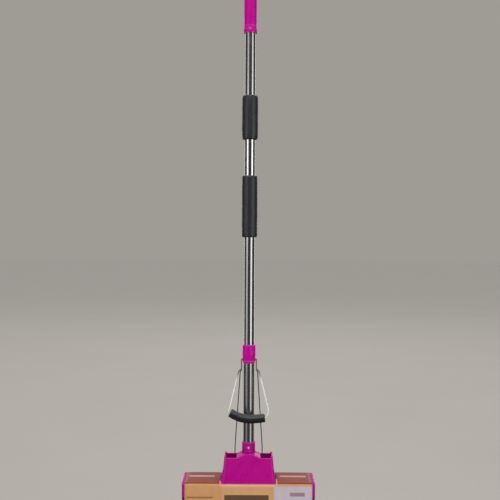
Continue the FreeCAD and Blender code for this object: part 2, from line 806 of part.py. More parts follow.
def add_neck(body):
    """Socket for the pole, with a ringed screw hole and a small nub below it at the front."""
    sketch = sketch_on(body, "XY_Plane", "neck_bottom_z")
    circle(sketch, "neck_radius")
    pad(body, sketch, "neck_height")
    soften(body, "Fillet", "neck_round", ring_at("neck_top_z", "neck_radius"))
    sketch = sketch_on(body, "XZ_Plane", "pole_radius + pole_fit + screw_fit")
    circle(sketch, "screw_boss_radius", "0", "neck_screw_z")
    circle(sketch, "neck_nub_radius", "0", "neck_screw_z - neck_nub_drop")
    pad(body, sketch, "neck_radius + screw_boss_height - pole_radius - pole_fit - screw_fit")
    sketch = sketch_on(body, "XY_Plane", "neck_top_z")
    circle(sketch, "pole_bore")
    pocket(body, sketch, "neck_height - neck_floor")
    sketch = sketch_on(body, "XZ_Plane", "neck_radius + screw_boss_height")
    circle(sketch, "screw_pocket", "0", "neck_screw_z")
    pocket(body, sketch, "screw_head_height + neck_screw_sink")
    sketch = sketch_on(body, "XZ_Plane", "neck_radius")
    circle(sketch, "screw_hole", "0", "neck_screw_z")
    pocket(body, sketch, "neck_radius - pole_radius + pole_wall")


def make_head_housing():
    body = new_body("head_housing")
    add_tower(body)
    add_rails(body)
    add_tower_foot(body)
    add_neck(body)
    sketch = sketch_on(body, "YZ_Plane")
    low, high = "rail_top_z - foot_groove_sink", "rail_top_z + foot_groove_height"
    rectangle(sketch, "foot_groove_y", "rail_half_depth", low, high)
    rectangle(sketch, minus("rail_half_depth"), minus("foot_groove_y"), low, high)
    pocket(body, sketch, "flange_half_x * 2", side="Symmetric")
    sketch = sketch_on(body, "YZ_Plane")
    rectangle(sketch, minus("notch_half"), "notch_half", "tower_foot_z - tower_wall", "notch_top_z")
    pocket(body, sketch, "flange_half_x * 2 + tower_wall", side="Symmetric")
    sketch = sketch_on(body, "YZ_Plane")
    for side in ("upper_axle_y", minus("upper_axle_y")):
        circle(sketch, "roller_radius + roller_clearance", side, "upper_axle_z")
    pocket(body, sketch, "head_half_length * 2 + tower_wall", side="Symmetric")


# ----------------------------------------------------------------------------
# End plates and their screws
# ----------------------------------------------------------------------------
AXLES = {
    "upper_front": (minus("upper_axle_y"), "upper_axle_z"),
    "upper_rear": ("upper_axle_y", "upper_axle_z"),
    "lower_front": (minus("lower_axle_y"), "lower_axle_z"),
    "lower_rear": ("lower_axle_y", "lower_axle_z"),
}


def make_end_plate(label, x, rotation):
    body = new_body(label)
    sketch = sketch_on(body, "YZ_Plane")
    polygon(sketch, mirrored_outline([
        ("plate_bottom_half", "plate_bottom_z"),
        ("plate_half_depth", "plate_lower_z"),
        ("plate_half_depth", "plate_shoulder_z"),
        ("rail_top_half", "plate_top_z"),
    ]))
    pad(body, sketch, "plate_thickness")
    outside = value("plate_thickness")
    soften(body, "Chamfer", "plate_edge", lambda edge: edge.BoundBox.XMin > outside - 1e-4)
    sketch = sketch_on(body, "YZ_Plane", "plate_thickness")
    rectangle(sketch, minus("panel_half"), "panel_half",
              "panel_bottom_z", "panel_bottom_z + panel_height")
    pocket(body, sketch, "panel_depth")
    sketch = sketch_on(body, "YZ_Plane")
    for y, z in AXLES.values():
        circle(sketch, "axle_radius + screw_fit", y, z)
    pocket(body, sketch, "axle_seat", reverse=True)
    for radius, depth in (("screw_pocket", "screw_sink"), ("screw_hole", "plate_thickness")):
        sketch = sketch_on(body, "YZ_Plane", "plate_thickness")
        for side in ("end_boss_y", minus("end_boss_y")):
            circle(sketch, radius, side, "end_boss_z")
        pocket(body, sketch, depth)
    place(body, x=x, rotation=rotation)


def make_end_plate_screws():
    pattern = make_screw("end_plate_screw_pattern", "end_screw_length", keep=False)
    spots = []
    for direction in (-1, 1):
        turn = Rotation(Vector(0, 1, 0), 90 * direction)
        x = direction * value("head_half_length + plate_thickness - screw_sink")
        for side in (-1, 1):
            spots.append(Placement(Vector(x, side * value("end_boss_y"), value("end_boss_z")), turn))
    group("end_plate_screws", pattern, spots)


# ----------------------------------------------------------------------------
# Wringer rollers and axles
# ----------------------------------------------------------------------------
def make_roller(label, y, z):
    body = new_body(label)
    sketch = sketch_on(body, "YZ_Plane")
    circle(sketch, "roller_core")
    circle(sketch, "roller_bore")
    pad(body, sketch, "roller_half_length * 2", side="Symmetric")
    sketch = sketch_on(body, "YZ_Plane")
    rectangle(sketch, minus("roller_rib_width / 2"), "roller_rib_width / 2",
              "roller_core - roller_rib_width / 2", "roller_radius")
    rib = pad(body, sketch, "roller_half_length * 2", side="Symmetric")
    ribs = body.newObject("PartDesign::PolarPattern", "Ribs")
    ribs.Originals = [rib]
    ribs.Axis = (origin_plane(body, "X_Axis"), [""])
    ribs.Angle = 360
    ribs.Occurrences = ROLLER_RIBS
    body.Tip = ribs
    place(body, y=y, z=z)


def make_axle(label, y, z):
    axle = doc.addObject("Part::Cylinder", label)
    axle.Label = label
    axle.setExpression("Radius", bound("axle_radius"))
    axle.setExpression("Height", bound("axle_half_length * 2"))
    place(axle, x=minus("axle_half_length"), y=y, z=z, rotation=Rotation(Vector(0, 1, 0), 90))
    parts.append(axle)


# ----------------------------------------------------------------------------
# Sponge carrier: sponge, channel, rivets, nuts and pull rods
# ----------------------------------------------------------------------------
RIVET_XS = ("rivet_outer_x", "rivet_outer_x / 2", minus("rivet_outer_x / 2"), minus("rivet_outer_x"))
ROD_XS = ("rod_half_spacing", minus("rod_half_spacing"))


def drill_for_rivets(body, through):
    sketch = sketch_on(body, "XZ_Plane")
    for x in RIVET_XS:
        circle(sketch, "rivet_radius + screw_fit", x, "rivet_z")
    pocket(body, sketch, through, side="Symmetric")


def make_sponge():
    body = new_body("sponge")
    sketch = sketch_on(body, "YZ_Plane")
    polygon(sketch, mirrored_outline([
        ("sponge_half_depth - sponge_edge", "0"),
        ("sponge_half_depth", "sponge_edge"),
        ("sponge_half_depth", "sponge_height - sponge_shoulder"),
        ("sponge_crown_half", "sponge_height"),
    ]))
    pad(body, sketch, "sponge_half_length * 2", side="Symmetric")
    sketch = sketch_on(body, "YZ_Plane")
    rectangle(sketch, minus("ridge_half"), "ridge_half", "sponge_height - sponge_edge", "ridge_top_z")
    pad(body, sketch, "channel_half_length * 2", side="Symmetric")
    drill_for_rivets(body, "ridge_half * 4")


def make_sponge_channel():
    body = new_body("sponge_channel")
    sketch = sketch_on(body, "YZ_Plane")
    inner = "channel_half_depth - channel_wall"
    polygon(sketch, [
        ("channel_half_depth", "sponge_height"),
        ("channel_half_depth", "channel_top_z"),
        (minus("channel_half_depth"), "channel_top_z"),
        (minus("channel_half_depth"), "sponge_height"),
        (minus(inner), "sponge_height"),
        (minus(inner), "channel_top_z - channel_wall"),
        (inner, "channel_top_z - channel_wall"),
        (inner, "sponge_height"),
    ])
    pad(body, sketch, "channel_half_length * 2", side="Symmetric")
    drill_for_rivets(body, "channel_half_depth * 4")
    sketch = sketch_on(body, "XY_Plane", "channel_top_z")
    for x in ROD_XS:
        circle(sketch, "rod_radius + wire_fit", x)
    pocket(body, sketch, "channel_wall")


def make_channel_rivets():
    pattern = new_body("rivet_pattern", keep=False)
    end = "channel_half_depth + rivet_head_height"
    revolve(pattern, [
        ("0", minus(end)),
        ("rivet_head_radius * 0.6", minus(end)),
        ("rivet_head_radius", minus("channel_half_depth")),
        ("rivet_radius", minus("channel_half_depth")),
        ("rivet_radius", "channel_half_depth"),
        ("rivet_head_radius", "channel_half_depth"),
        ("rivet_head_radius * 0.6", end),
        ("0", end),
    ])
    turn = Rotation(Vector(1, 0, 0), 90)
    spots = [Placement(Vector(value(x), 0, value("rivet_z")), turn) for x in RIVET_XS]
    group("channel_rivets", pattern, spots)


def make_rod_nuts():
    pattern = new_body("nut_pattern", keep=False)
    sketch = sketch_on(pattern, "XY_Plane")
    corner = "nut_across / 2 / cos(30)"
    polygon(sketch, [
        (corner, "0"),
        (corner + " / 2", "nut_across / 2"),
        (minus(corner + " / 2"), "nut_across / 2"),
        (minus(corner), "0"),
        (minus(corner + " / 2"), minus("nut_across / 2")),
        (corner + " / 2", minus("nut_across / 2")),
    ])
    circle(sketch, "rod_radius + wire_fit")
    pad(pattern, sketch, "nut_height")
    spots = [Placement(Vector(value(x), 0, value("channel_top_z")), Rotation()) for x in ROD_XS]
    group("rod_nuts", pattern, spots)


def make_pull_rod(label, side):
    """Rod that rises from the channel and hooks over the lever's crank from behind."""
    hook = Vector(side * value("hook_x"), value("hook_y"), value("hook_z"))
    radius = value("hook_radius")
    behind = hook + Vector(0, radius, 0)
    turn = math.radians(value("rod_hook_turn"))
    foot_x = side * value("rod_half_spacing")
    straight = bent_path(
        [
            Vector(foot_x, 0, value("rod_foot_z")),
            Vector(foot_x, 0, value("rod_straight_z")),
            behind - Vector(0, 0, radius),
            behind,
        ],
        [value("rod_bend"), radius],
    )
    halfway = hook + Vector(0, radius * math.cos(turn / 2), radius * math.sin(turn / 2))
    tip = hook + Vector(0, radius * math.cos(turn), radius * math.sin(turn))
    curl = Part.Arc(behind, halfway, tip).toShape()
    rod = doc.addObject("Part::Feature", label)
    rod.Label = label
    rod.Shape = swept(Part.Wire(straight.Edges + [curl]), value("rod_radius"))
    rod.Placement = Placement()
    parts.append(rod)


# ----------------------------------------------------------------------------
# Pull lever
# ----------------------------------------------------------------------------
def lever_points():
    """Corners of the lever wire in its own plane, from the right pin to the left pin."""
    leg = value("leg_x")
    jog = value("leg_x + crank_jog")
    crank = -value("crank_arm")
    half = value("lever_half_width")
    pin = value("pole_radius + loose_gap")
    knee = -value("lever_leg_drop")
    upper_right = [(pin, 0), (leg, 0), (leg, crank), (jog, crank), (half, knee)]
    bottom = [
        (value("lever_heel_half"), -value("lever_heel_drop")),
        (0, -value("lever_grip_drop")),
        (-value("lever_toe_half"), -value("lever_toe_drop")),
    ]
    upper_left = [(-x, z) for x, z in reversed(upper_right)]
    return [Vector(x, 0, z) for x, z in upper_right + bottom + upper_left]


def place_on_lever(item):
    tilt = Rotation(Vector(1, 0, 0), -value("lever_tilt"))
    place(item, z="pivot_z", rotation=tilt)


def lever_bends():
    """Bend radii of the wire: tight at the cranks, wide under the hand."""
    tight = value("wire_bend")
    knee = value("lever_knee_bend")
    grip = value("lever_grip_bend")
    toe = value("lever_toe_bend")
    return [tight, tight, tight, knee, knee, grip, toe, knee, tight, tight, tight]


def make_lever_wire():
    item = doc.addObject("Part::Feature", "lever_wire")
    item.Label = "lever_wire"
    item.Shape = swept(bent_path(lever_points(), lever_bends()), value("wire_radius"))
    place_on_lever(item)
    parts.append(item)


def make_lever_foam_grip():
    """Foam tube over the wire between its right heel and its left knee."""
    points = lever_points()
    bends = lever_bends()
    right_knee, heel, middle, toe, left_knee, left_crank = points[4:10]
    from_heel, heel_reach = bend_frame(right_knee, heel, middle, bends[4])[1::2]
    start = heel + from_heel * heel_reach
    to_toe, knee_reach = bend_frame(left_crank, left_knee, toe, bends[7])[1::2]
    end = left_knee + to_toe * knee_reach
    path = bent_path([start, middle, toe, end], bends[5:7])
    foam = swept(path, value("lever_foam_radius"))
    rims = [edge for edge in foam.Edges if min((edge.CenterOfMass - start).Length,
                                               (edge.CenterOfMass - end).Length) < 1e-3]
    foam = foam.makeFillet(value("lever_foam_round"), rims)
    item = doc.addObject("Part::Feature", "lever_foam_grip")
    item.Label = "lever_foam_grip"
    item.Shape = foam.cut(swept(path, value("wire_radius + wire_fit")))
    place_on_lever(item)
    parts.append(item)


# ----------------------------------------------------------------------------
# Card sleeve
# ----------------------------------------------------------------------------
def make_card_sleeve():
    """Folded card over both rails, cut away round the tower."""
    body = new_body("card_sleeve")

    def fold_line(out):
        return [
            ("rail_half_depth + " + out, "card_bottom_z"),
            ("rail_half_depth + " + out, "rail_shoulder_z + (" + out + ") * fold"),
            ("rail_top_half + (" + out + ") * fold", "rail_top_z + " + out),
        ]

    outer = fold_line("card_out")
    inner = fold_line("loose_gap")
    over = outer + [(minus(y), z) for y, z in reversed(outer)]
    back = [(minus(y), z) for y, z in inner] + list(reversed(inner))
    sketch = sketch_on(body, "YZ_Plane")
    polygon(sketch, over + back)
    pad(body, sketch, "(head_half_length - card_end_gap) * 2", side="Symmetric")
    sketch = sketch_on(body, "XZ_Plane")
    half = "flange_half_x + card_tower_gap"
    rectangle(sketch, minus(half), half, "card_front_top_z", "rail_top_z * 2")
    pocket(body, sketch, "plate_half_depth * 4", side="Symmetric")


# ----------------------------------------------------------------------------
# Build, check and write
# ----------------------------------------------------------------------------
def check_document():
    """Raise if any object failed or any sub-part has no sound shape."""
    for item in doc.Objects:
        if "Invalid" in item.State or "Error" in item.State:
            raise RuntimeError("%s failed: %s" % (item.Label, item.State))
    for item in parts:
        shape = item.Shape
        if shape.isNull() or not shape.isValid() or not shape.Solids:
            raise RuntimeError("%s has no sound shape" % item.Label)


def main():
    make_pole_tube()
    make_handle_grip()
    make_foam_grip("upper_foam_grip", "upper_foam_z", "upper_foam_length")
    make_foam_grip("lower_foam_grip", "lower_foam_z", "lower_foam_length")
    make_lever_collar()
    make_pole_screws()
    make_head_housing()
    make_end_plate("end_plate_right", "head_half_length", Rotation())
    make_end_plate("end_plate_left", minus("head_half_length"), Rotation(Vector(0, 0, 1), 180))
    make_end_plate_screws()
    for name, (y, z) in AXLES.items():
        make_roller("roller_" + name, y, z)
        make_axle("axle_" + name, y, z)
    make_sponge()
    make_sponge_channel()
    make_channel_rivets()
    make_rod_nuts()
    make_pull_rod("pull_rod_right", 1)
    make_pull_rod("pull_rod_left", -1)
    make_lever_wire()
    make_lever_foam_grip()
    make_card_sleeve()
    doc.recompute()
    check_document()
    os.makedirs("parts", exist_ok=True)
    for item in parts:
        item.Shape.exportStep("parts/%s.step" % item.Label)
        box = item.Shape.BoundBox
        print("%-18s %d solid(s) %10.1f mm3  z %7.1f..%7.1f" % (
            item.Label, len(item.Shape.Solids), item.Shape.Volume, box.ZMin, box.ZMax))


main()
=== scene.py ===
"""Looks of an upright sponge mop with a roller wringer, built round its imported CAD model.

Lengths are metres in the model's own frame: +Z up, -Y the front, X along the head. Sizes given in
millimetres are passed through mm().
"""
import logging
import math
from dataclasses import dataclass, field
from enum import Enum
from typing import Any, Callable, Iterable, Sequence

import bpy
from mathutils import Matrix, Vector


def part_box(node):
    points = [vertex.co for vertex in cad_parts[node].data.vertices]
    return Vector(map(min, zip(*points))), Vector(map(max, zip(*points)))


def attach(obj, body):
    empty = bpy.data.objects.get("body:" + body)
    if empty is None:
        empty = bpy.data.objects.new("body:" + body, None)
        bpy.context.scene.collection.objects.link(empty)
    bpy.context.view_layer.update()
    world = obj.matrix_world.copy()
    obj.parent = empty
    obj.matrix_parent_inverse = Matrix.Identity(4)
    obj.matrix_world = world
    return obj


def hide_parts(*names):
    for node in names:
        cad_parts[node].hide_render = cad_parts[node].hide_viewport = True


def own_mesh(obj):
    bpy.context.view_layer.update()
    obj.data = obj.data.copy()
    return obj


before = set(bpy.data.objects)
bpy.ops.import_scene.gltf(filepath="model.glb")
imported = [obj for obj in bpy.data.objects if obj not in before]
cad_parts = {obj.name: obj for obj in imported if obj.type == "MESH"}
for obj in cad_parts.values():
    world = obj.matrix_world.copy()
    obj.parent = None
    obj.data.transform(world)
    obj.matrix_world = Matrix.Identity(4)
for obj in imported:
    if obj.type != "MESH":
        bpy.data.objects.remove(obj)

logging.basicConfig(level=logging.INFO, format="%(message)s")
log = logging.getLogger("sponge_mop")

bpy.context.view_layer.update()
NOTCH_HALF_MM = 57.6  # the card's notch for the tower, from the middle to either side
DOUBLES_APART = 1e-6

Link = tuple[bpy.types.Node, str | int]
Links = dict[str | int, Link]
Settings = dict[str | int, Any]
Modifier = tuple[str, dict[str, Any]]


def mm(length: float) -> float:
    """Turn millimetres into metres."""
    return length / 1000.0


def scale_of(size_mm: float) -> float:
    """Give the scale of a texture whose cells are this many millimetres across."""
    return 1000.0 / size_mm


def srgb(code: str) -> tuple[float, float, float, float]:
    """Turn an sRGB hex colour into linear light.

    Args:
        code: Six hex digits, such as "af0083".

    Returns:
        Red, green, blue and an alpha of one, as a shader wants them.
    """
    parts = [int(code[i:i + 2], 16) / 255 for i in (0, 2, 4)]
    red, green, blue = (p / 12.92 if p <= 0.04045 else ((p + 0.055) / 1.055) ** 2.4 for p in parts)
    return red, green, blue, 1.0


def feed(tree: bpy.types.NodeTree, target: bpy.types.Node, links: Links) -> None:
    """Link outputs to a node's sockets.

    Args:
        tree: The node tree.
        target: The node that is fed.
        links: For a socket, the node and output that feed it.
    """
    for key, (source, output) in links.items():
        tree.links.new(source.outputs[output], target.inputs[key])


def node(tree: bpy.types.NodeTree, kind: str, settings: Settings | None = None,
         links: Links | None = None) -> bpy.types.Node:
    """Add a shader node with its settings and links.

    Args:
        tree: The node tree that gets the node.
        kind: The node's type without its "ShaderNode" prefix.
        settings: Values by attribute name, or by socket name or number.
        links: For a socket, the node and output that feed it.

    Returns:
        The new node.
    """
    made = tree.nodes.new("ShaderNode" + kind)
    for key, value in (settings or {}).items():
        if isinstance(key, str) and hasattr(made, key):
            setattr(made, key, value)
        else:
            made.inputs[key].default_value = value
    feed(tree, made, links or {})
    return made


class Body(Enum):
    """The moving bodies of the mop."""

    MOP = "mop"
    LEVER = "lever"
    CARRIER = "carrier"


class Slot(Enum):
    """The record's material slots."""

    MAGENTA = "magenta_plastic"
    TUBE = "steel_tube"
    SCREW = "screw_steel"
    FOAM = "black_foam"
    SPONGE = "sponge"
    CHANNEL = "channel_steel"
    ROD = "rod_steel"
    WIRE = "wire_steel"
    ROLLER = "roller_plastic"
    CARD = "printed_card"


class Element(Enum):
    """What is selected while a mesh is edited."""

    FACE = "FACE"
    EDGE = "EDGE"


# ----------------------------------------------------------------------------
# Finishes
# ----------------------------------------------------------------------------
@dataclass(frozen=True)
class Finish:
    """A named surface, made once as a material and shared by the pieces that have it.

    Attributes:
        name: What the real material is and how it was made.
        slot: Its slot in the record.
    """

    name: str
    slot: Slot

    def begin(self, settings: Settings) -> tuple[bpy.types.Material, bpy.types.NodeTree,
                                                 bpy.types.Node, Link]:
        """Start a material.

        Args:
            settings: What is the same all over the surface, by the Principled shader's sockets.

        Returns:
            The material, its tree, its Principled shader, and the piece's own coordinates for a link.
        """
        material = bpy.data.materials.new(self.name)
        material.use_nodes = True
        tree = material.node_tree
        tree.nodes.clear()
        shader = node(tree, "BsdfPrincipled", settings)
        node(tree, "OutputMaterial", links={"Surface": (shader, "BSDF")})
        return material, tree, shader, (node(tree, "TexCoord"), "Object")

    def build(self) -> bpy.types.Material:
        """Make the material, in each finish's own way."""
        raise NotImplementedError

    def material(self) -> bpy.types.Material:
        """Give the material, made at the first call."""
        return bpy.data.materials.get(self.name) or self.build()


@dataclass(frozen=True)
class MouldedPlastic(Finish):
    """Injection-moulded plastic, satin from the mould, with rounded edges, lightened partly by wear from
    rubbing and partly by a painted highlight.

    The mould's spark-eroded skin breaks highlights up a little, and slow flow marks vary the gloss. The
    real skin is finer than a tenth of a millimetre, and is drawn coarser so that it shows.
    """

    colour: str
    rubbed_and_highlit: str
    roughness: float = 0.36
    grain_mm: float = 0.7
    grain_depth_mm: float = 0.06
    flow_mm: float = 22.0
    scuff_mm: float = 3.0
    edge_mm: float = 1.1
    edge_samples: int = 6

    def build(self) -> bpy.types.Material:
        """Make the plastic.

        Returns:
            The material.
        """
        material, tree, shader, where = self.begin({
            "IOR": 1.49, "Specular IOR Level": 0.26, "Subsurface Weight": 0.04,
            "Subsurface Radius": (0.004, 0.001, 0.002), "Subsurface Scale": 0.5})
        flow = node(tree, "TexNoise", {"Scale": scale_of(self.flow_mm), "Detail": 3.0, "Roughness": 0.6},
                    {"Vector": where})
        scuff = node(tree, "TexNoise", {"Scale": scale_of(self.scuff_mm), "Detail": 6.0, "Roughness": 0.7},
                     {"Vector": where})
        rounded = node(tree, "Bevel", {"samples": self.edge_samples, "Radius": mm(self.edge_mm)})
        flat = node(tree, "NewGeometry")
        turn = node(tree, "VectorMath", {"operation": "DOT_PRODUCT"},
                    {0: (rounded, "Normal"), 1: (flat, "Normal")})
        # Edge mask: the edges turn lighter, partly wear from rubbing and partly a painted highlight along the
        # rims.
        edge = node(tree, "MapRange", {"From Min": 0.995, "From Max": 0.85, "To Min": 0.0, "To Max": 1.0},
                    {"Value": (turn, "Value")})
        scuffed = node(tree, "MapRange", {"From Min": 0.3, "From Max": 0.6, "To Min": 0.35, "To Max": 0.9},
                       {"Value": (scuff, "Fac")})
        worn_and_highlit = node(tree, "Math", {"operation": "MULTIPLY"}, {0: (edge, "Result"), 1: (scuffed, "Result")})
        tone = node(tree, "MixRGB", {"blend_type": "OVERLAY", "Fac": 0.10, "Color1": srgb(self.colour)},
                    {"Color2": (flow, "Color")})
        colour = node(tree, "MixRGB", {"Color2": srgb(self.rubbed_and_highlit)},
                      {"Fac": (worn_and_highlit, "Value"), "Color1": (tone, "Color")})
        gloss = node(tree, "MapRange", {"From Min": 0.3, "From Max": 0.7, "To Min": self.roughness - 0.05,
                                        "To Max": self.roughness + 0.07}, {"Value": (flow, "Fac")})
        grain = node(tree, "TexNoise", {"Scale": scale_of(self.grain_mm), "Detail": 2.0}, {"Vector": where})
        bump = node(tree, "Bump", {"Strength": 0.12, "Distance": mm(self.grain_depth_mm)},
                    {"Height": (grain, "Fac"), "Normal": (rounded, "Normal")})
        feed(tree, shader, {"Base Color": (colour, "Color"), "Roughness": (gloss, "Result"),
                            "Normal": (bump, "Normal")})
        return material


@dataclass(frozen=True)
class DrawnTube(Finish):
    """Thin stainless tube, drawn and then polished along its length, so it mirrors in long stripes.

    The real drawing lines are far finer than half a millimetre, and are drawn coarser so that they show.
    """

    colour: str
    roughness: float = 0.13
    line_mm: float = 0.5
    line_length_mm: float = 125.0
    smudge_mm: float = 35.0

    def build(self) -> bpy.types.Material:
        """Make the tube's steel.

        Returns:
            The material.
        """
        material, tree, shader, where = self.begin({"Metallic": 1.0})
        across, along = scale_of(self.line_mm), scale_of(self.line_length_mm)
        stretch = node(tree, "Mapping", {"Scale": (across, across, along)}, {"Vector": where})
        lines = node(tree, "TexNoise", {"Scale": 1.0, "Detail": 4.0, "Roughness": 0.6},
                     {"Vector": (stretch, "Vector")})
        smudge = node(tree, "TexNoise", {"Scale": scale_of(self.smudge_mm), "Detail": 5.0, "Roughness": 0.65},
                      {"Vector": where})
        tone = node(tree, "MixRGB", {"blend_type": "MULTIPLY", "Fac": 0.10, "Color1": srgb(self.colour)},
                    {"Color2": (lines, "Color")})
        grey = node(tree, "HueSaturation", {"Saturation": 0.25}, {"Color": (tone, "Color")})
        gloss = node(tree, "MapRange", {"From Min": 0.35, "From Max": 0.75, "To Min": self.roughness,
                                        "To Max": self.roughness + 0.06}, {"Value": (smudge, "Fac")})
        feed(tree, shader, {"Base Color": (grey, "Color"), "Roughness": (gloss, "Result")})
        return material


@dataclass(frozen=True)
class PlatedSteel(Finish):
    """Drawn wire or a turned screw under thin plating: fine drawing marks and duller, darker patches.

    The real marks are finer than a tenth of a millimetre, and are drawn coarser so that they show. Painted
    shade darkens what lies above one height, and fades out down to a lower one: by default above the whole
    mop.
    """

    colour: str
    dull: str
    roughness: float = 0.28
    patch_mm: float = 7.0
    metallic: float = 1.0
    shade_start_mm: float = 2000.0
    shade_full_mm: float = 2016.0
    painted_shade: str = "6b635d"
    mark_mm: float = 0.4

    def build(self) -> bpy.types.Material:
        """Make the plated steel.

        Returns:
            The material.
        """
        material, tree, shader, where = self.begin({"Metallic": self.metallic})
        patches = node(tree, "TexNoise", {"Scale": scale_of(self.patch_mm), "Detail": 5.0, "Roughness": 0.7},
                       {"Vector": where})
        marks = node(tree, "TexNoise", {"Scale": scale_of(self.mark_mm), "Detail": 2.0}, {"Vector": where})
        amount = node(tree, "MapRange", {"From Min": 0.42, "From Max": 0.68}, {"Value": (patches, "Fac")})
        plating = node(tree, "MixRGB", {"Color1": srgb(self.colour), "Color2": srgb(self.dull)},
                       {"Fac": (amount, "Result")})
        place = node(tree, "SeparateXYZ", links={"Vector": where})
        # Painted shade: darker above one height, fading out down to a lower one.
        painted_shade = node(tree, "MapRange", {"From Min": mm(self.shade_start_mm), "From Max": mm(self.shade_full_mm)},
                   {"Value": (place, "Z")})
        colour = node(tree, "MixRGB", {"Color2": srgb(self.painted_shade)},
                      {"Fac": (painted_shade, "Result"), "Color1": (plating, "Color")})
        gloss = node(tree, "MapRange", {"To Min": self.roughness, "To Max": self.roughness + 0.22},
                     {"Value": (amount, "Result")})
        bump = node(tree, "Bump", {"Strength": 0.05, "Distance": mm(0.01)}, {"Height": (marks, "Fac")})
        feed(tree, shader, {"Base Color": (colour, "Color"), "Roughness": (gloss, "Result"),
                            "Normal": (bump, "Normal")})
        return material


@dataclass(frozen=True)
class GalvanisedSheet(Finish):
    """Hot-dipped zinc on pressed sheet: flat crystals, each with a shade and gloss of its own."""

    colour: str
    crystal: str
    spangle_mm: float = 6.0
    dust_mm: float = 0.8

    def build(self) -> bpy.types.Material:
        """Make the galvanised sheet.

        Returns:
            The material.
        """
        material, tree, shader, where = self.begin({"Metallic": 1.0})
        spangle = node(tree, "TexVoronoi", {"Scale": scale_of(self.spangle_mm), "Randomness": 1.0},
                       {"Vector": where})
        shade = node(tree, "SeparateColor", links={"Color": (spangle, "Color")})
        colour = node(tree, "MixRGB", {"Color1": srgb(self.colour), "Color2": srgb(self.crystal)},
                      {"Fac": (shade, "Red")})
        gloss = node(tree, "MapRange", {"To Min": 0.30, "To Max": 0.52}, {"Value": (shade, "Green")})
        dust = node(tree, "TexNoise", {"Scale": scale_of(self.dust_mm), "Detail": 3.0}, {"Vector": where})
        bump = node(tree, "Bump", {"Strength": 0.12, "Distance": mm(0.04)}, {"Height": (dust, "Fac")})
        feed(tree, shader, {"Base Color": (colour, "Color"), "Roughness": (gloss, "Result"),
                            "Normal": (bump, "Normal")})
        return material


@dataclass(frozen=True)
class FoamRubber(Finish):
    """Closed-cell rubber foam: dull charcoal skin, peppered with fine cells and dusty on the high spots.

    The real cells are about a third of a millimetre, and are drawn coarser so that they show.
    """

    colour: str
    dusty: str
    cell_mm: float = 0.9
    cell_depth_mm: float = 0.14
    cloud_mm: float = 14.0

    def build(self) -> bpy.types.Material:
        """Make the foam.

        Returns:
            The material.
        """
        material, tree, shader, where = self.begin({
            "Roughness": 0.42, "Specular IOR Level": 0.6, "Sheen Weight": 0.03, "Sheen Roughness": 0.5})
        cells = node(tree, "TexVoronoi", {"Scale": scale_of(self.cell_mm)}, {"Vector": where})
        cloud = node(tree, "TexNoise", {"Scale": scale_of(self.cloud_mm), "Detail": 5.0, "Roughness": 0.6},
                     {"Vector": where})
        pit = node(tree, "MapRange", {"From Min": 0.05, "From Max": 0.45}, {"Value": (cells, "Distance")})
        amount = node(tree, "Math", {"operation": "MULTIPLY"}, {0: (pit, "Result"), 1: (cloud, "Fac")})
        colour = node(tree, "MixRGB", {"Color1": srgb(self.colour), "Color2": srgb(self.dusty)},
                      {"Fac": (amount, "Value")})
        bump = node(tree, "Bump", {"Strength": 0.22, "Distance": mm(self.cell_depth_mm)},
                    {"Height": (pit, "Result")})
        feed(tree, shader, {"Base Color": (colour, "Color"), "Normal": (bump, "Normal")})
        return material


@dataclass(frozen=True)
class OpenSponge(Finish):
    """Open-celled PVA sponge: matte and slightly see-through, with darker pores of many sizes.

    The real pores are mostly under a millimetre, and are drawn coarser so that they show.
    """

    colour: str
    pore: str
    pore_mm: float = 2.4
    fine_pore_mm: float = 2.4 / 2.6
    pore_depth_mm: float = 0.5
    cloud_mm: float = 30.0

    def build(self) -> bpy.types.Material:
        """Make the sponge.

        Returns:
            The material.
        """
        material, tree, shader, where = self.begin({
            "Roughness": 0.85, "Subsurface Weight": 0.25, "Subsurface Radius": (0.004, 0.003, 0.0015),
            "Subsurface Scale": 0.6})
        large = node(tree, "TexVoronoi", {"Scale": scale_of(self.pore_mm)}, {"Vector": where})
        small = node(tree, "TexVoronoi", {"Scale": scale_of(self.fine_pore_mm)}, {"Vector": where})
        wide = node(tree, "MapRange", {"From Min": 0.08, "From Max": 0.38}, {"Value": (large, "Distance")})
        fine = node(tree, "MapRange", {"From Min": 0.10, "From Max": 0.42}, {"Value": (small, "Distance")})
        depth = node(tree, "Math", {"operation": "MULTIPLY"}, {0: (wide, "Result"), 1: (fine, "Result")})
        cloud = node(tree, "TexNoise", {"Scale": scale_of(self.cloud_mm), "Detail": 3.0}, {"Vector": where})
        tone = node(tree, "MixRGB", {"blend_type": "OVERLAY", "Fac": 0.12, "Color1": srgb(self.colour)},
                    {"Color2": (cloud, "Color")})
        colour = node(tree, "MixRGB", {"Color1": srgb(self.pore)},
                      {"Fac": (depth, "Value"), "Color2": (tone, "Color")})
        bump = node(tree, "Bump", {"Strength": 0.6, "Distance": mm(self.pore_depth_mm)},
                    {"Height": (depth, "Value")})
        feed(tree, shader, {"Base Color": (colour, "Color"), "Normal": (bump, "Normal")})
        return material


@dataclass(frozen=True)
class Band:
    """A plain box of one ink on the card.

    Attributes:
        ink: Its colour.
        cover: How far the ink covers, from 0 to 1.
        spans: For each axis that bounds the box, its lowest and highest place in millimetres.
    """

    ink: str
    cover: float
    spans: tuple[tuple[str, float, float], ...]


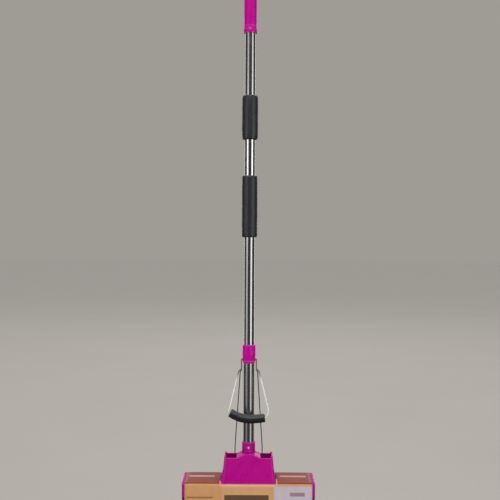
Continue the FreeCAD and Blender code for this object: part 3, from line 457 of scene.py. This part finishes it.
@dataclass(frozen=True)
class CoatedCard(Finish):
    """Clay-coated folding card, printed in flat blocks of colour, with a low sheen and a soft tooth.

    Plain bands stand where such a card carries its words. A pale band runs along the cut edge at the
    tower: bare card, brightened by a painted highlight where the edge bends.
    """

    left: str
    middle: str
    right: str
    flap: str
    flap_low: str
    bare: str
    dark: str
    pale: str
    left_edge_mm: float = -55.0
    right_edge_mm: float = 53.5
    fold_mm: float = 96.6
    head_band_mm: float = 5.0
    notch_mm: float = NOTCH_HALF_MM
    flap_shade_mm: tuple[float, float] = (-32.0, 4.0)
    fibre_mm: float = 1.2
    mottle_mm: float = 18.0

    def face_bands(self) -> tuple[Band, ...]:
        """List the bands on the upright panels."""
        return (Band(self.dark, 0.85, (("X", -50, 42), ("Z", 51, 73.5))),
                Band(self.dark, 0.5, (("X", -128, -74), ("Z", 66.5, 70))),
                Band(self.flap_low, 0.6, (("X", 86, 117), ("Z", 71, 79))))

    def flap_bands(self) -> tuple[Band, ...]:
        """List the bands on the top flaps."""
        return (Band(self.pale, 0.5, (("X", -126, -72), ("Y", 3, 13))),
                Band(self.pale, 0.5, (("X", 66, 122), ("Y", 3, 13))))

    def pale_cut_edges(self) -> tuple[Band, ...]:
        """List the pale bands along the cut edges round the tower: bare card and a painted highlight."""
        fold, notch = self.fold_mm, self.notch_mm
        return (Band(self.bare, 0.85, (("X", -notch, notch), ("Z", fold - 2.4, fold + 1))),
                Band(self.bare, 0.9, (("X", -notch - 2.2, -notch + 0.2), ("Y", -40, -24),
                                      ("Z", fold - 1.5, fold + 6))),
                Band(self.bare, 0.9, (("X", notch - 0.2, notch + 2.2), ("Y", -40, -12),
                                      ("Z", fold - 1.5, fold + 6))))

    def beyond(self, tree: bpy.types.NodeTree, place: bpy.types.Node, axis: str, limit_mm: float) -> Link:
        """Give one past a limit along an axis, and nought before it."""
        return node(tree, "Math", {"operation": "GREATER_THAN", 1: mm(limit_mm)}, {0: (place, axis)}), "Value"

    def print_bands(self, tree: bpy.types.NodeTree, place: bpy.types.Node, under: bpy.types.Node,
                    bands: Iterable[Band]) -> bpy.types.Node:
        """Print bands over what lies underneath.

        Args:
            tree: The card's node tree.
            place: The node that gives X, Y and Z.
            under: The node whose colour lies underneath.
            bands: The bands, the lowest first.

        Returns:
            The node of the printed colour.
        """
        for band in bands:
            amount: Link | None = None
            for axis, low, high in band.spans:
                inside = node(tree, "Math", {"operation": "COMPARE", 1: mm((low + high) / 2),
                                             2: mm((high - low) / 2)}, {0: (place, axis)}), "Value"
                amount = inside if amount is None else (
                    node(tree, "Math", {"operation": "MULTIPLY"}, {0: amount, 1: inside}), "Value")
            covered = node(tree, "Math", {"operation": "MULTIPLY", 1: band.cover}, {0: amount})
            under = node(tree, "MixRGB", {"Color2": srgb(band.ink)},
                         {"Fac": (covered, "Value"), "Color1": (under, "Color")})
        return under

    def build(self) -> bpy.types.Material:
        """Make the printed side of the card.

        Returns:
            The material.
        """
        material, tree, shader, where = self.begin({
            "Roughness": 0.5, "Specular IOR Level": 0.22, "Coat Weight": 0.03, "Coat Roughness": 0.25})
        place = node(tree, "SeparateXYZ", links={"Vector": where})
        fibre = node(tree, "TexNoise", {"Scale": scale_of(self.fibre_mm), "Detail": 6.0, "Roughness": 0.7},
                     {"Vector": where})
        mottle = node(tree, "TexNoise", {"Scale": scale_of(self.mottle_mm), "Detail": 4.0}, {"Vector": where})
        face = node(tree, "MixRGB", {"Color1": srgb(self.left), "Color2": srgb(self.middle)},
                    {"Fac": self.beyond(tree, place, "X", self.left_edge_mm)})
        for ink, axis, limit_mm in ((self.right, "X", self.right_edge_mm),
                                    (self.middle, "Z", self.fold_mm - self.head_band_mm)):
            face = node(tree, "MixRGB", {"Color2": srgb(ink)},
                        {"Fac": self.beyond(tree, place, axis, limit_mm), "Color1": (face, "Color")})
        face = self.print_bands(tree, place, face, self.face_bands())
        # Painted shade and sheen on the top flap: the same ink, deeper red-brown at the front and greyer
        # towards the rear.
        front, back = self.flap_shade_mm
        rise = node(tree, "MapRange", {"From Min": mm(front), "From Max": mm(back)}, {"Value": (place, "Y")})
        flap = node(tree, "MixRGB", {"Color1": srgb(self.flap_low), "Color2": srgb(self.flap)},
                    {"Fac": (rise, "Result")})
        flap = self.print_bands(tree, place, flap, self.flap_bands())
        ink = node(tree, "MixRGB", links={"Fac": self.beyond(tree, place, "Z", self.fold_mm),
                                          "Color1": (face, "Color"), "Color2": (flap, "Color")})
        # Pale cut edges round the tower: bare card and a painted highlight along them.
        ink = self.print_bands(tree, place, ink, self.pale_cut_edges())
        mixed = node(tree, "MixRGB", {"blend_type": "OVERLAY", "Fac": 0.16},
                     {"Color1": (ink, "Color"), "Color2": (mottle, "Fac")})
        grain = node(tree, "MixRGB", {"blend_type": "OVERLAY", "Fac": 0.14},
                     {"Color1": (mixed, "Color"), "Color2": (fibre, "Fac")})
        bump = node(tree, "Bump", {"Strength": 0.18, "Distance": mm(0.08)}, {"Height": (fibre, "Fac")})
        feed(tree, shader, {"Base Color": (grain, "Color"), "Normal": (bump, "Normal")})
        return material


@dataclass(frozen=True)
class KraftBack(Finish):
    """The bare grey-brown back of the card, where short fibres and specks show."""

    colour: str
    speck: str
    fibre_mm: float = 0.9

    def build(self) -> bpy.types.Material:
        """Make the bare side of the card.

        Returns:
            The material.
        """
        material, tree, shader, where = self.begin({"Roughness": 0.9})
        fibre = node(tree, "TexNoise", {"Scale": scale_of(self.fibre_mm), "Detail": 8.0, "Roughness": 0.75},
                     {"Vector": where})
        amount = node(tree, "MapRange", {"From Min": 0.5, "From Max": 0.75}, {"Value": (fibre, "Fac")})
        colour = node(tree, "MixRGB", {"Color1": srgb(self.colour), "Color2": srgb(self.speck)},
                      {"Fac": (amount, "Result")})
        bump = node(tree, "Bump", {"Strength": 0.3, "Distance": mm(0.1)}, {"Height": (fibre, "Fac")})
        feed(tree, shader, {"Base Color": (colour, "Color"), "Normal": (bump, "Normal")})
        return material


@dataclass(frozen=True)
class StudioFloor(Finish):
    """A plain pale painted floor with the faintest cloudiness, in clouds of a third of a metre."""

    colour: str
    cloud: str
    cloud_scale: float = 3.0

    def build(self) -> bpy.types.Material:
        """Make the floor.

        Returns:
            The material.
        """
        material, tree, shader, where = self.begin({"Roughness": 0.55})
        cloud = node(tree, "TexNoise", {"Scale": self.cloud_scale, "Detail": 5.0}, {"Vector": where})
        colour = node(tree, "MixRGB", {"Color1": srgb(self.colour), "Color2": srgb(self.cloud)},
                      {"Fac": (cloud, "Fac")})
        feed(tree, shader, {"Base Color": (colour, "Color")})
        return material


MAGENTA = MouldedPlastic("moulded_polypropylene_magenta", Slot.MAGENTA, "b60087", "e868c4", roughness=0.28)
# The handle and collar take a brighter copy of the head's magenta: painted light, so they look more brightly
# lit than the head.
HANDLE_MAGENTA_LIT = MouldedPlastic("moulded_polypropylene_handle_lit", Slot.MAGENTA, "c60098", "e868c4",
                                roughness=0.22)
ROLLER = MouldedPlastic("moulded_abs_roller", Slot.ROLLER, "d9d8d4", "f2f1ee", roughness=0.45, grain_mm=0.9,
                        flow_mm=30.0, edge_mm=0.4)
TUBE = DrawnTube("drawn_stainless_tube", Slot.TUBE, "c9c7c2")
# Bright nickel wire, drawn near-white with little of it a mirror: a painted highlight along its length.
# Painted shade darkens it near its pivot.
WIRE = PlatedSteel("nickel_plated_wire", Slot.WIRE, "fffdfa", "ece6e0", roughness=0.34, metallic=0.2,
                   shade_start_mm=306.0, shade_full_mm=322.0)
ROD = PlatedSteel("dark_plated_rod", Slot.ROD, "6a645d", "3d3833", roughness=0.34)
# Zinc plating is pale; the near-white base colour with little mirror also paints on a highlight.
SCREW = PlatedSteel("zinc_plated_screw", Slot.SCREW, "f8f6f2", "d6d3cd", roughness=0.36, patch_mm=2.0,
                    metallic=0.3)
SHEET = GalvanisedSheet("galvanised_sheet", Slot.CHANNEL, "b4b7ba", "8f9499")
FOAM = FoamRubber("closed_cell_foam", Slot.FOAM, "111316", "282a2f")
SPONGE = OpenSponge("open_cell_sponge", Slot.SPONGE, "efe2b4", "b99f62")
CARD = CoatedCard("coated_card", Slot.CARD, left="d69f6d", middle="dba878", right="cdc3d0", flap="7c3f38",
                  flap_low="83361f", bare="f2b5ad", dark="3b2c24", pale="dcb9b6")
KRAFT = KraftBack("kraft_card_back", Slot.CARD, "b39f86", "8d7a63")
FLOOR = StudioFloor("pale_painted_floor", Slot.CARD, "b1ada7", "aaa6a0")


# ----------------------------------------------------------------------------
# Modelling by hand, in code
# ----------------------------------------------------------------------------
def deselect() -> None:
    """Leave edit mode and let go of every object."""
    if bpy.context.object and bpy.context.object.mode != "OBJECT":
        bpy.ops.object.mode_set(mode="OBJECT")
    bpy.ops.object.select_all(action="DESELECT")


def take(piece: bpy.types.Object) -> None:
    """Make one object the only one selected, and active.

    Args:
        piece: The object.
    """
    deselect()
    piece.select_set(True)
    bpy.context.view_layer.objects.active = piece


def finish_modifiers(piece: bpy.types.Object, *stack: Modifier) -> None:
    """Add modifiers one after another and apply each.

    Args:
        piece: The object to change.
        stack: A modifier's type and its settings, for each modifier.
    """
    take(piece)
    for kind, settings in stack:
        modifier = piece.modifiers.new(kind.lower(), kind)
        for key, value in settings.items():
            setattr(modifier, key, value)
        bpy.ops.object.modifier_apply(modifier=modifier.name)


def settle(piece: bpy.types.Object, smooth_deg: float = 40.0) -> bpy.types.Object:
    """Put a piece's place into its mesh, merge its doubles and turn its faces outwards.

    Args:
        piece: The object to settle.
        smooth_deg: Edges flatter than this are shaded smooth.

    Returns:
        The same object.
    """
    take(piece)
    bpy.ops.object.transform_apply(location=True, rotation=True, scale=True)
    bpy.ops.object.mode_set(mode="EDIT")
    bpy.ops.mesh.select_all(action="SELECT")
    bpy.ops.mesh.remove_doubles(threshold=DOUBLES_APART)
    bpy.ops.mesh.normals_make_consistent(inside=False)
    bpy.ops.object.mode_set(mode="OBJECT")
    bpy.ops.object.shade_smooth_by_angle(angle=math.radians(smooth_deg))
    return piece


def pick(piece: bpy.types.Object, kind: Element, wanted: Callable[[Vector], bool]) -> None:
    """Select the faces or edges whose middle passes a test, and stay in edit mode.

    Args:
        piece: The object being edited.
        kind: Whether faces or edges are selected.
        wanted: The test on the middle point.
    """
    bpy.ops.object.mode_set(mode="EDIT")
    bpy.ops.mesh.select_mode(type=kind.value)
    bpy.ops.mesh.select_all(action="DESELECT")
    bpy.ops.object.mode_set(mode="OBJECT")
    mesh = piece.data
    if kind is Element.FACE:
        for face in mesh.polygons:
            face.select = wanted(face.center)
    else:
        for edge in mesh.edges:
            middle = (mesh.vertices[edge.vertices[0]].co + mesh.vertices[edge.vertices[1]].co) / 2
            edge.select = wanted(middle)
    bpy.ops.object.mode_set(mode="EDIT")


def turned(name: str, rings: Sequence[tuple[float, float]], sides: int = 72) -> bpy.types.Object:
    """Raise a round shell about the pole, ring by ring, and close it where it meets itself.

    Args:
        name: The new object's name.
        rings: Radius and height of each ring, in metres.
        sides: How many faces go round.

    Returns:
        The new object.
    """
    deselect()
    radius, height = rings[0]
    bpy.ops.mesh.primitive_circle_add(vertices=sides, radius=radius, location=(0, 0, height))
    piece = bpy.context.object
    piece.name = piece.data.name = name
    bpy.ops.object.mode_set(mode="EDIT")
    bpy.ops.mesh.select_mode(type="EDGE")
    bpy.ops.mesh.select_all(action="SELECT")
    for (r0, z0), (r1, z1) in zip(rings, rings[1:]):
        bpy.ops.mesh.extrude_edges_move(TRANSFORM_OT_translate={"value": (0, 0, z1 - z0)})
        bpy.ops.transform.resize(value=(r1 / r0, r1 / r0, 1), center_override=(0, 0, z1))
    return settle(piece)


def bisect_at(coordinates: Iterable[float], normal: tuple[float, float, float]) -> None:
    """Score the whole mesh being edited with parallel cuts.

    Args:
        coordinates: Where each cut crosses the axis of the normal.
        normal: The direction across the cuts.
    """
    for at in coordinates:
        bpy.ops.mesh.select_all(action="SELECT")
        bpy.ops.mesh.bisect(plane_co=[at * n for n in normal], plane_no=normal)


def lumps(name: str, size: float, strength: float, mid_level: float = 0.5, depth: int = 2) -> Modifier:
    """Describe a Displace modifier that raises soft lumps.

    Args:
        name: The new texture's name.
        size: About how wide each lump is.
        strength: How far the surface moves between a hollow and a crest.
        mid_level: The part of the noise, from 0 to 1, that leaves the surface in place.
        depth: How many finer layers the noise has.

    Returns:
        The modifier, for finish_modifiers().
    """
    texture = bpy.data.textures.new(name, "CLOUDS")
    texture.noise_scale = size
    texture.noise_depth = depth
    return "DISPLACE", {"texture": texture, "strength": strength, "mid_level": mid_level,
                        "texture_coords": "LOCAL"}


def pores(name: str, size: float, strength: float, mid_level: float = 0.6) -> Modifier:
    """Describe a Displace modifier that sinks a pit at the middle of each cell.

    Args:
        name: The new texture's name.
        size: About how wide each cell is.
        strength: How far the surface moves between a pit and a wall.
        mid_level: The part of the noise, from 0 to 1, that leaves the surface in place.

    Returns:
        The modifier, for finish_modifiers().
    """
    texture = bpy.data.textures.new(name, "VORONOI")
    texture.noise_scale = size
    texture.noise_intensity = 1.0
    return "DISPLACE", {"texture": texture, "strength": strength, "mid_level": mid_level,
                        "texture_coords": "LOCAL"}


def dress(piece: bpy.types.Object, finish: Finish, body: Body, *replaced: str) -> bpy.types.Object:
    """Give a finished piece its material, its body and the CAD nodes that it stands for.

    Args:
        piece: The object, complete.
        finish: Its surface.
        body: The body that it moves with.
        replaced: CAD nodes that it hides.

    Returns:
        The same object.
    """
    if not piece.data.materials:
        piece.data.materials.append(finish.material())
    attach(piece, body.value)
    if replaced:
        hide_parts(*replaced)
    log.info("%s: %d faces on %s, for %s", piece.name, len(piece.data.polygons), body.value,
             ", ".join(replaced) or "no node")
    return piece


# ----------------------------------------------------------------------------
# Sub-assemblies
# ----------------------------------------------------------------------------
@dataclass
class Pole:
    """The steel tube and the two foam grips on it."""

    tube_sides: int = 128
    wall: float = mm(0.6)
    grip_sides: int = 96
    grip_rings: int = 44
    bore_gap: float = mm(0.1)
    bore_chamfer: tuple[float, float] = (mm(0.8), mm(0.6))
    barrel: float = mm(0.35)
    upper_swell: float = mm(0.5)
    end_round: float = mm(3.2)
    round_steps: int = 5
    lump: float = mm(0.5)
    lump_size: float = mm(16)
    skin: float = mm(0.15)
    skin_size: float = mm(1.6)

    def tube(self) -> None:
        """Turn the tube finely enough to mirror its surroundings in straight stripes."""
        low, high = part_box("pole_tube")
        radius = (high[0] - low[0]) / 2
        piece = turned("pole_steel_tube", [
            (radius - self.wall, low[2]), (radius, low[2]), (radius, high[2]), (radius - self.wall, high[2]),
            (radius - self.wall, low[2])], self.tube_sides)
        dress(piece, TUBE, Body.MOP, "pole_tube")

    def grip(self, node_name: str, name: str, swell: float) -> None:
        """Turn one foam grip: rounded ends, a faint barrel, a bore snug on the tube and a foamed skin.

        Args:
            node_name: The CAD node that gives its place.
            name: The new piece's name.
            swell: How far it stands out between its ends, beyond the node's radius.
        """
        low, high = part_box(node_name)
        tube_low, tube_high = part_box("pole_tube")
        radius, bore = (high[0] - low[0]) / 2, (tube_high[0] - tube_low[0]) / 2 + self.bore_gap
        length, middle = high[2] - low[2], (high[2] + low[2]) / 2
        rings = [(bore, low[2] + self.bore_chamfer[1]), (bore + self.bore_chamfer[0], low[2])]
        for step in range(self.round_steps + 1):
            angle = math.pi / 2 * step / self.round_steps
            rings.append((radius - self.end_round * (1 - math.sin(angle)),
                          low[2] + self.end_round * (1 - math.cos(angle))))
        for step in range(1, self.grip_rings):
            height = low[2] + self.end_round + (length - 2 * self.end_round) * step / self.grip_rings
            spread = 0.5 - 2 * ((height - middle) / length) ** 2
            rings.append((radius + self.barrel * spread + swell * min(1.0, 4 * spread), height))
        lower_end = rings[:self.round_steps + 3]
        rings += [(r, low[2] + high[2] - z) for r, z in reversed(lower_end)]
        rings.append(rings[0])
        piece = turned(name, rings, self.grip_sides)
        finish_modifiers(
            piece, lumps(name + "_lumps", self.lump_size, self.lump),
            ("SUBSURF", {"levels": 1, "render_levels": 1}),
            pores(name + "_skin", self.skin_size, self.skin))
        settle(piece, smooth_deg=60)
        dress(piece, FOAM, Body.MOP, node_name)

    def build(self) -> None:
        """Build the pole's pieces."""
        self.tube()
        self.grip("upper_foam_grip", "upper_grip_foam", self.upper_swell)
        self.grip("lower_foam_grip", "lower_grip_foam", 0.0)


@dataclass
class LeverFoam:
    """The foam sleeve on the pull lever, soft enough to bulge between its bends."""

    voxel: float = mm(1.1)
    lump: float = mm(0.7)
    lump_size: float = mm(9)
    skin: float = mm(0.15)
    skin_size: float = mm(1.5)

    def build(self) -> None:
        """Build the sleeve over a merged copy of its solid."""
        deselect()
        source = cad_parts["lever_foam_grip"]
        piece = bpy.data.objects.new("lever_grip_foam", source.data.copy())
        bpy.context.collection.objects.link(piece)
        piece.data.materials.clear()
        settle(piece)
        finish_modifiers(
            piece,
            ("REMESH", {"mode": "VOXEL", "voxel_size": self.voxel, "use_smooth_shade": True}),
            ("SMOOTH", {"factor": 0.5, "iterations": 4}),
            lumps("lever_grip_lumps", self.lump_size, self.lump, 0.45),
            pores("lever_grip_skin", self.skin_size, self.skin))
        settle(piece, smooth_deg=70)
        dress(piece, FOAM, Body.LEVER, "lever_foam_grip")


@dataclass
class SpongeHead:
    """The PVA sponge, gripped by its channel: a soft block with rounded edges and open pores."""

    inset: float = mm(1.0)
    shoulder: float = mm(30)
    tongue_half: float = mm(4.9)
    tongue_height: float = mm(7.3)
    tongue_taper: float = 0.99
    edge: float = mm(5.0)
    voxel: float = mm(1.5)
    crown: float = mm(1.6)
    crown_size: float = mm(38)
    pore_depth: float = mm(0.8)
    pore_size: float = mm(3.4)
    keep: float = 0.235

    def block(self) -> bpy.types.Object:
        """Shape the block: a box drawn in to the width of the channel, with a tongue pulled up into it.

        Returns:
            The block, still sharp-edged.
        """
        _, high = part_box("sponge")
        channel_low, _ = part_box("sponge_channel")
        half_x, half_y, shoulder = high[0] - self.inset, high[1] - self.inset, self.shoulder
        deselect()
        bpy.ops.mesh.primitive_cube_add(size=2, location=(0, 0, shoulder / 2))
        piece = bpy.context.object
        piece.name = piece.data.name = "sponge_block"
        bpy.ops.object.mode_set(mode="EDIT")
        bpy.ops.transform.resize(value=(half_x, half_y, shoulder / 2 - self.inset / 2),
                                 center_override=(0, 0, shoulder / 2))
        bpy.ops.object.mode_set(mode="OBJECT")
        bpy.ops.object.transform_apply(location=True, rotation=False, scale=False)
        pick(piece, Element.FACE, lambda c: c.z > shoulder - self.inset)
        bpy.ops.mesh.extrude_region_move(TRANSFORM_OT_translate={"value": (0, 0, channel_low[2] - shoulder)})
        bpy.ops.transform.resize(value=(self.tongue_taper, self.tongue_half / half_y, 1),
                                 center_override=(0, 0, channel_low[2]))
        bpy.ops.mesh.extrude_region_move(TRANSFORM_OT_translate={"value": (0, 0, self.tongue_height)})
        bpy.ops.object.mode_set(mode="OBJECT")
        return piece

    def build(self) -> None:
        """Build the sponge, round it off, crown its faces and open its pores."""
        piece = self.block()
        settle(piece)
        finish_modifiers(
            piece,
            ("BEVEL", {"width": self.edge, "segments": 3, "limit_method": "ANGLE",
                       "angle_limit": math.radians(50)}),
            ("REMESH", {"mode": "VOXEL", "voxel_size": self.voxel, "use_smooth_shade": True}),
            ("SMOOTH", {"factor": 0.6, "iterations": 6}),
            lumps("sponge_lumps", self.crown_size, self.crown, depth=1),
            pores("sponge_pores", self.pore_size, self.pore_depth, 0.75))
        settle(piece, smooth_deg=70)
        dress(piece, SPONGE, Body.CARRIER, "sponge")
        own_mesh(piece)


@dataclass
class CardSleeve:
    """The folded card sleeve over the head: creased, slightly bowed and cut out round the tower."""

    step: float = mm(8)
    thickness: float = mm(0.6)
    bow: float = mm(1.0)
    bow_size: float = mm(60)
    fold: float = mm(2.2)
    crease_round: float = mm(0.5)
    notch_half: float = mm(NOTCH_HALF_MM)
    notch_z: float = mm(95.3)
    top_scores_mm: range = range(-24, 25, 8)

    def build(self) -> None:
        """Fold, score, cut and thicken the card."""
        low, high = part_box("card_sleeve")
        half_y, crease = high[1], high[2] - self.fold
        deselect()
        bpy.ops.mesh.primitive_plane_add(size=2, location=(0, -half_y, (low[2] + crease) / 2),
                                         rotation=(math.pi / 2, 0, 0))
        piece = bpy.context.object
        piece.name = piece.data.name = "card_sleeve_print"
        piece.scale = (high[0], (crease - low[2]) / 2, 1)
        bpy.ops.object.transform_apply(location=True, rotation=True, scale=True)
        pick(piece, Element.EDGE, lambda c: c.z > crease - mm(1))
        for move in ((0, self.fold, self.fold), (0, 2 * (half_y - self.fold), 0),
                     (0, self.fold, -self.fold), (0, 0, low[2] - crease)):
            bpy.ops.mesh.extrude_edges_move(TRANSFORM_OT_translate={"value": move})
        lines = round(2 * high[0] / self.step)
        bisect_at((low[0] + (high[0] - low[0]) * i / lines for i in range(1, lines)), (1, 0, 0))
        bisect_at((-self.notch_half, self.notch_half), (1, 0, 0))
        rows = round((crease - low[2]) / self.step)
        bisect_at((low[2] + (crease - low[2]) * i / rows for i in range(1, rows)), (0, 0, 1))
        bisect_at((self.notch_z,), (0, 0, 1))
        bisect_at((mm(y) for y in self.top_scores_mm), (0, 1, 0))
        pick(piece, Element.FACE, lambda c: abs(c.x) < self.notch_half and c.z > self.notch_z)
        bpy.ops.mesh.delete(type="FACE")
        bpy.ops.object.mode_set(mode="OBJECT")
        settle(piece, smooth_deg=30)
        piece.data.materials.append(CARD.material())
        piece.data.materials.append(KRAFT.material())
        finish_modifiers(
            piece,
            ("BEVEL", {"width": self.crease_round, "segments": 2, "limit_method": "ANGLE",
                       "angle_limit": math.radians(25)}),
            lumps("card_bow", self.bow_size, self.bow, depth=0),
            ("SOLIDIFY", {"thickness": self.thickness, "offset": -1.0, "material_offset": 1,
                          "material_offset_rim": 1}))
        dress(piece, CARD, Body.MOP, "card_sleeve")


@dataclass
class FrameFinishes:
    """The finishes of the CAD nodes that show as they are."""

    finishes: dict[str, Finish] = field(default_factory=lambda: {
        "handle_grip": HANDLE_MAGENTA_LIT, "lever_collar": HANDLE_MAGENTA_LIT, "head_housing": MAGENTA,
        "end_plate": MAGENTA, "handle_screw": SCREW, "collar_screw": SCREW, "neck_screw": SCREW,
        "end_plate_screws": SCREW, "sponge_channel": SHEET, "channel_rivets": SHEET, "rod_nuts": ROD,
        "pull_rod": ROD, "lever_wire": WIRE, "roller": ROLLER, "axle": ROD})

    def build(self) -> None:
        """Dress each visible CAD node by the longest name that matches it."""
        for name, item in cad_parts.items():
            if item.hide_render:
                continue
            match = max((key for key in self.finishes if name.startswith(key)), key=len)
            item.data.materials.clear()
            item.data.materials.append(self.finishes[match].material())
            log.info("%s: CAD node in %s", name, self.finishes[match].name)


# ----------------------------------------------------------------------------
# Studio
# ----------------------------------------------------------------------------
@dataclass
class Camera:
    """A level camera in front of the mop, a little above its lever, with a slight roll.

    The horizon lies a little above the middle of the view, which a small shift gives.
    """

    place: tuple[float, float, float] = (0.0009, -1.750, 0.6298)
    lens: float = 59.4
    shift_y: float = -0.046
    roll_deg: float = -0.26
    sensor_mm: float = 36.0

    def build(self) -> None:
        """Set the camera up."""
        data = bpy.data.cameras.new("studio_camera")
        data.lens, data.sensor_width, data.shift_y = self.lens, self.sensor_mm, self.shift_y
        camera = bpy.data.objects.new("studio_camera", data)
        camera.location = self.place
        camera.rotation_mode = "XYZ"
        camera.rotation_euler = (math.radians(90), math.radians(self.roll_deg), 0)
        bpy.context.collection.objects.link(camera)
        bpy.context.scene.camera = camera


@dataclass(frozen=True)
class Softbox:
    """A rectangular soft light that faces the pole.

    Attributes:
        name: Its name.
        azimuth_deg: Its bearing from the front, towards +X.
        distance: How far it stands from the pole.
        height: The height of its middle.
        size: Its width and height.
        glow: Its brightness, in watts for each square metre and steradian.
        aim_z: The height on the pole that it faces.
        on_floor: Whether it lights the floor as well as the mop.
    """

    name: str
    azimuth_deg: float
    distance: float
    height: float
    size: tuple[float, float]
    glow: float
    aim_z: float = 0.6
    on_floor: bool = True

    def build(self, unlit: bpy.types.Collection) -> None:
        """Hang the light.

        Args:
            unlit: The collection that is left out of its reach unless it lights the floor too.
        """
        data = bpy.data.lights.new(self.name, "AREA")
        data.shape = "RECTANGLE"
        data.size, data.size_y = self.size
        data.energy = self.glow * math.pi * self.size[0] * self.size[1]
        lamp = bpy.data.objects.new(self.name, data)
        turn = math.radians(self.azimuth_deg)
        lamp.location = (self.distance * math.sin(turn), -self.distance * math.cos(turn), self.height)
        aim = Vector((0, 0, self.aim_z)) - lamp.location
        lamp.rotation_euler = aim.to_track_quat("-Z", "Y").to_euler()
        lamp.visible_camera = False
        bpy.context.collection.objects.link(lamp)
        if not self.on_floor:
            lamp.light_linking.receiver_collection = unlit


@dataclass(frozen=True)
class Stripe:
    """An upright softbox that draws one stripe down the pole, from its lowest to its highest place."""

    name: str
    azimuth_deg: float
    low: float
    high: float
    glow: float


@dataclass
class Studio:
    """A pale floor under an evenly lit ceiling, with upright softboxes for the pole's stripes."""

    floor_radius: float = 14.0
    floor_z: float = -mm(0.5)
    walls: tuple[float, float, float, float] = (0.06, 0.058, 0.056, 1)
    overhead: tuple[float, float, float, float] = (1.1, 1.09, 1.07, 1)
    backdrop: str = "9f9b95"
    stripe_distance: float = 2.0
    stripe_width: float = 1.15
    stripes: tuple[Stripe, ...] = (
        Stripe("right_high", 56, 1.18, 1.62, 1.15),
        Stripe("right_middle", 54, 0.62, 1.18, 2.3),
        Stripe("right_low", 42, 0.02, 0.62, 1.5),
        Stripe("right_foot", 44, -0.45, 0.02, 0.75),
        Stripe("left_high", -46, 1.18, 1.62, 0.72),
        Stripe("left_middle", -51, 0.62, 1.18, 2.1),
        Stripe("left_low", -56, 0.02, 0.62, 0.75),
        Stripe("left_foot", -51, -0.45, 0.02, 0.32),
    )
    softboxes: tuple[Softbox, ...] = (
        Softbox("front_fill", -8, 2.8, 3.2, (2.4, 1.6), 3.5, 0.3),
        Softbox("back_right", 157, 2.2, 0.8, (0.8, 1.6), 1.75, 0.8, on_floor=False),
        Softbox("back_left", -154, 2.2, 0.8, (0.8, 1.6), 1.75, 0.8, on_floor=False),
        Softbox("back_fill", 176, 2.8, 3.2, (2.4, 1.6), 2.5, 0.3),
    )

    def floor(self) -> bpy.types.Object:
        """Lay the floor just under the sponge.

        Returns:
            The floor.
        """
        deselect()
        bpy.ops.mesh.primitive_circle_add(vertices=96, radius=self.floor_radius, fill_type="NGON",
                                          location=(0, 0, self.floor_z))
        floor = bpy.context.object
        floor.name = "studio_floor"
        floor.data.materials.append(FLOOR.material())
        floor.visible_glossy = False
        return floor

    def ceiling(self) -> None:
        """Light the upper half of the room, and keep the walls dark for what mirrors them."""
        world = bpy.data.worlds.new("studio_room")
        world.use_nodes = True
        bpy.context.scene.world = world
        tree = world.node_tree
        tree.nodes.clear()
        place = node(tree, "SeparateXYZ", links={"Vector": (node(tree, "TexCoord"), "Generated")})
        rise = node(tree, "MapRange", {"From Min": 0.30, "From Max": 0.75}, {"Value": (place, "Z")})
        room = node(tree, "MixRGB", {"Color1": self.walls, "Color2": self.overhead},
                    {"Fac": (rise, "Result")})
        path = node(tree, "LightPath")
        seen = node(tree, "MixRGB", {"Color2": srgb(self.backdrop)},
                    {"Fac": (path, "Is Camera Ray"), "Color1": (room, "Color")})
        light = node(tree, "Background", {"Strength": 1.0}, {"Color": (seen, "Color")})
        node(tree, "OutputWorld", links={"Surface": (light, "Background")})

    def build(self) -> None:
        """Build the studio: each stripe is an upright softbox that lights everything but the floor."""
        unlit = bpy.data.collections.new("floor_kept_from_the_stripes")
        unlit.objects.link(self.floor())
        unlit.collection_objects[0].light_linking.link_state = "EXCLUDE"
        self.ceiling()
        for stripe in self.stripes:
            middle = (stripe.low + stripe.high) / 2
            Softbox("stripe_" + stripe.name, stripe.azimuth_deg, self.stripe_distance, middle,
                    (self.stripe_width, stripe.high - stripe.low), stripe.glow, middle,
                    on_floor=False).build(unlit)
        for softbox in self.softboxes:
            softbox.build(unlit)
        view = bpy.context.scene.view_settings
        view.view_transform, view.look, view.exposure = "Standard", "None", 0.0


def main() -> None:
    """Build the scene in order: camera, new pieces, the CAD nodes' finishes and the studio."""
    Camera().build()
    for assembly in (Pole(), LeverFoam(), SpongeHead(), CardSleeve(), FrameFinishes(), Studio()):
        log.info("building %s", type(assembly).__name__)
        assembly.build()
    deselect()


if __name__ == "__main__":
    main()
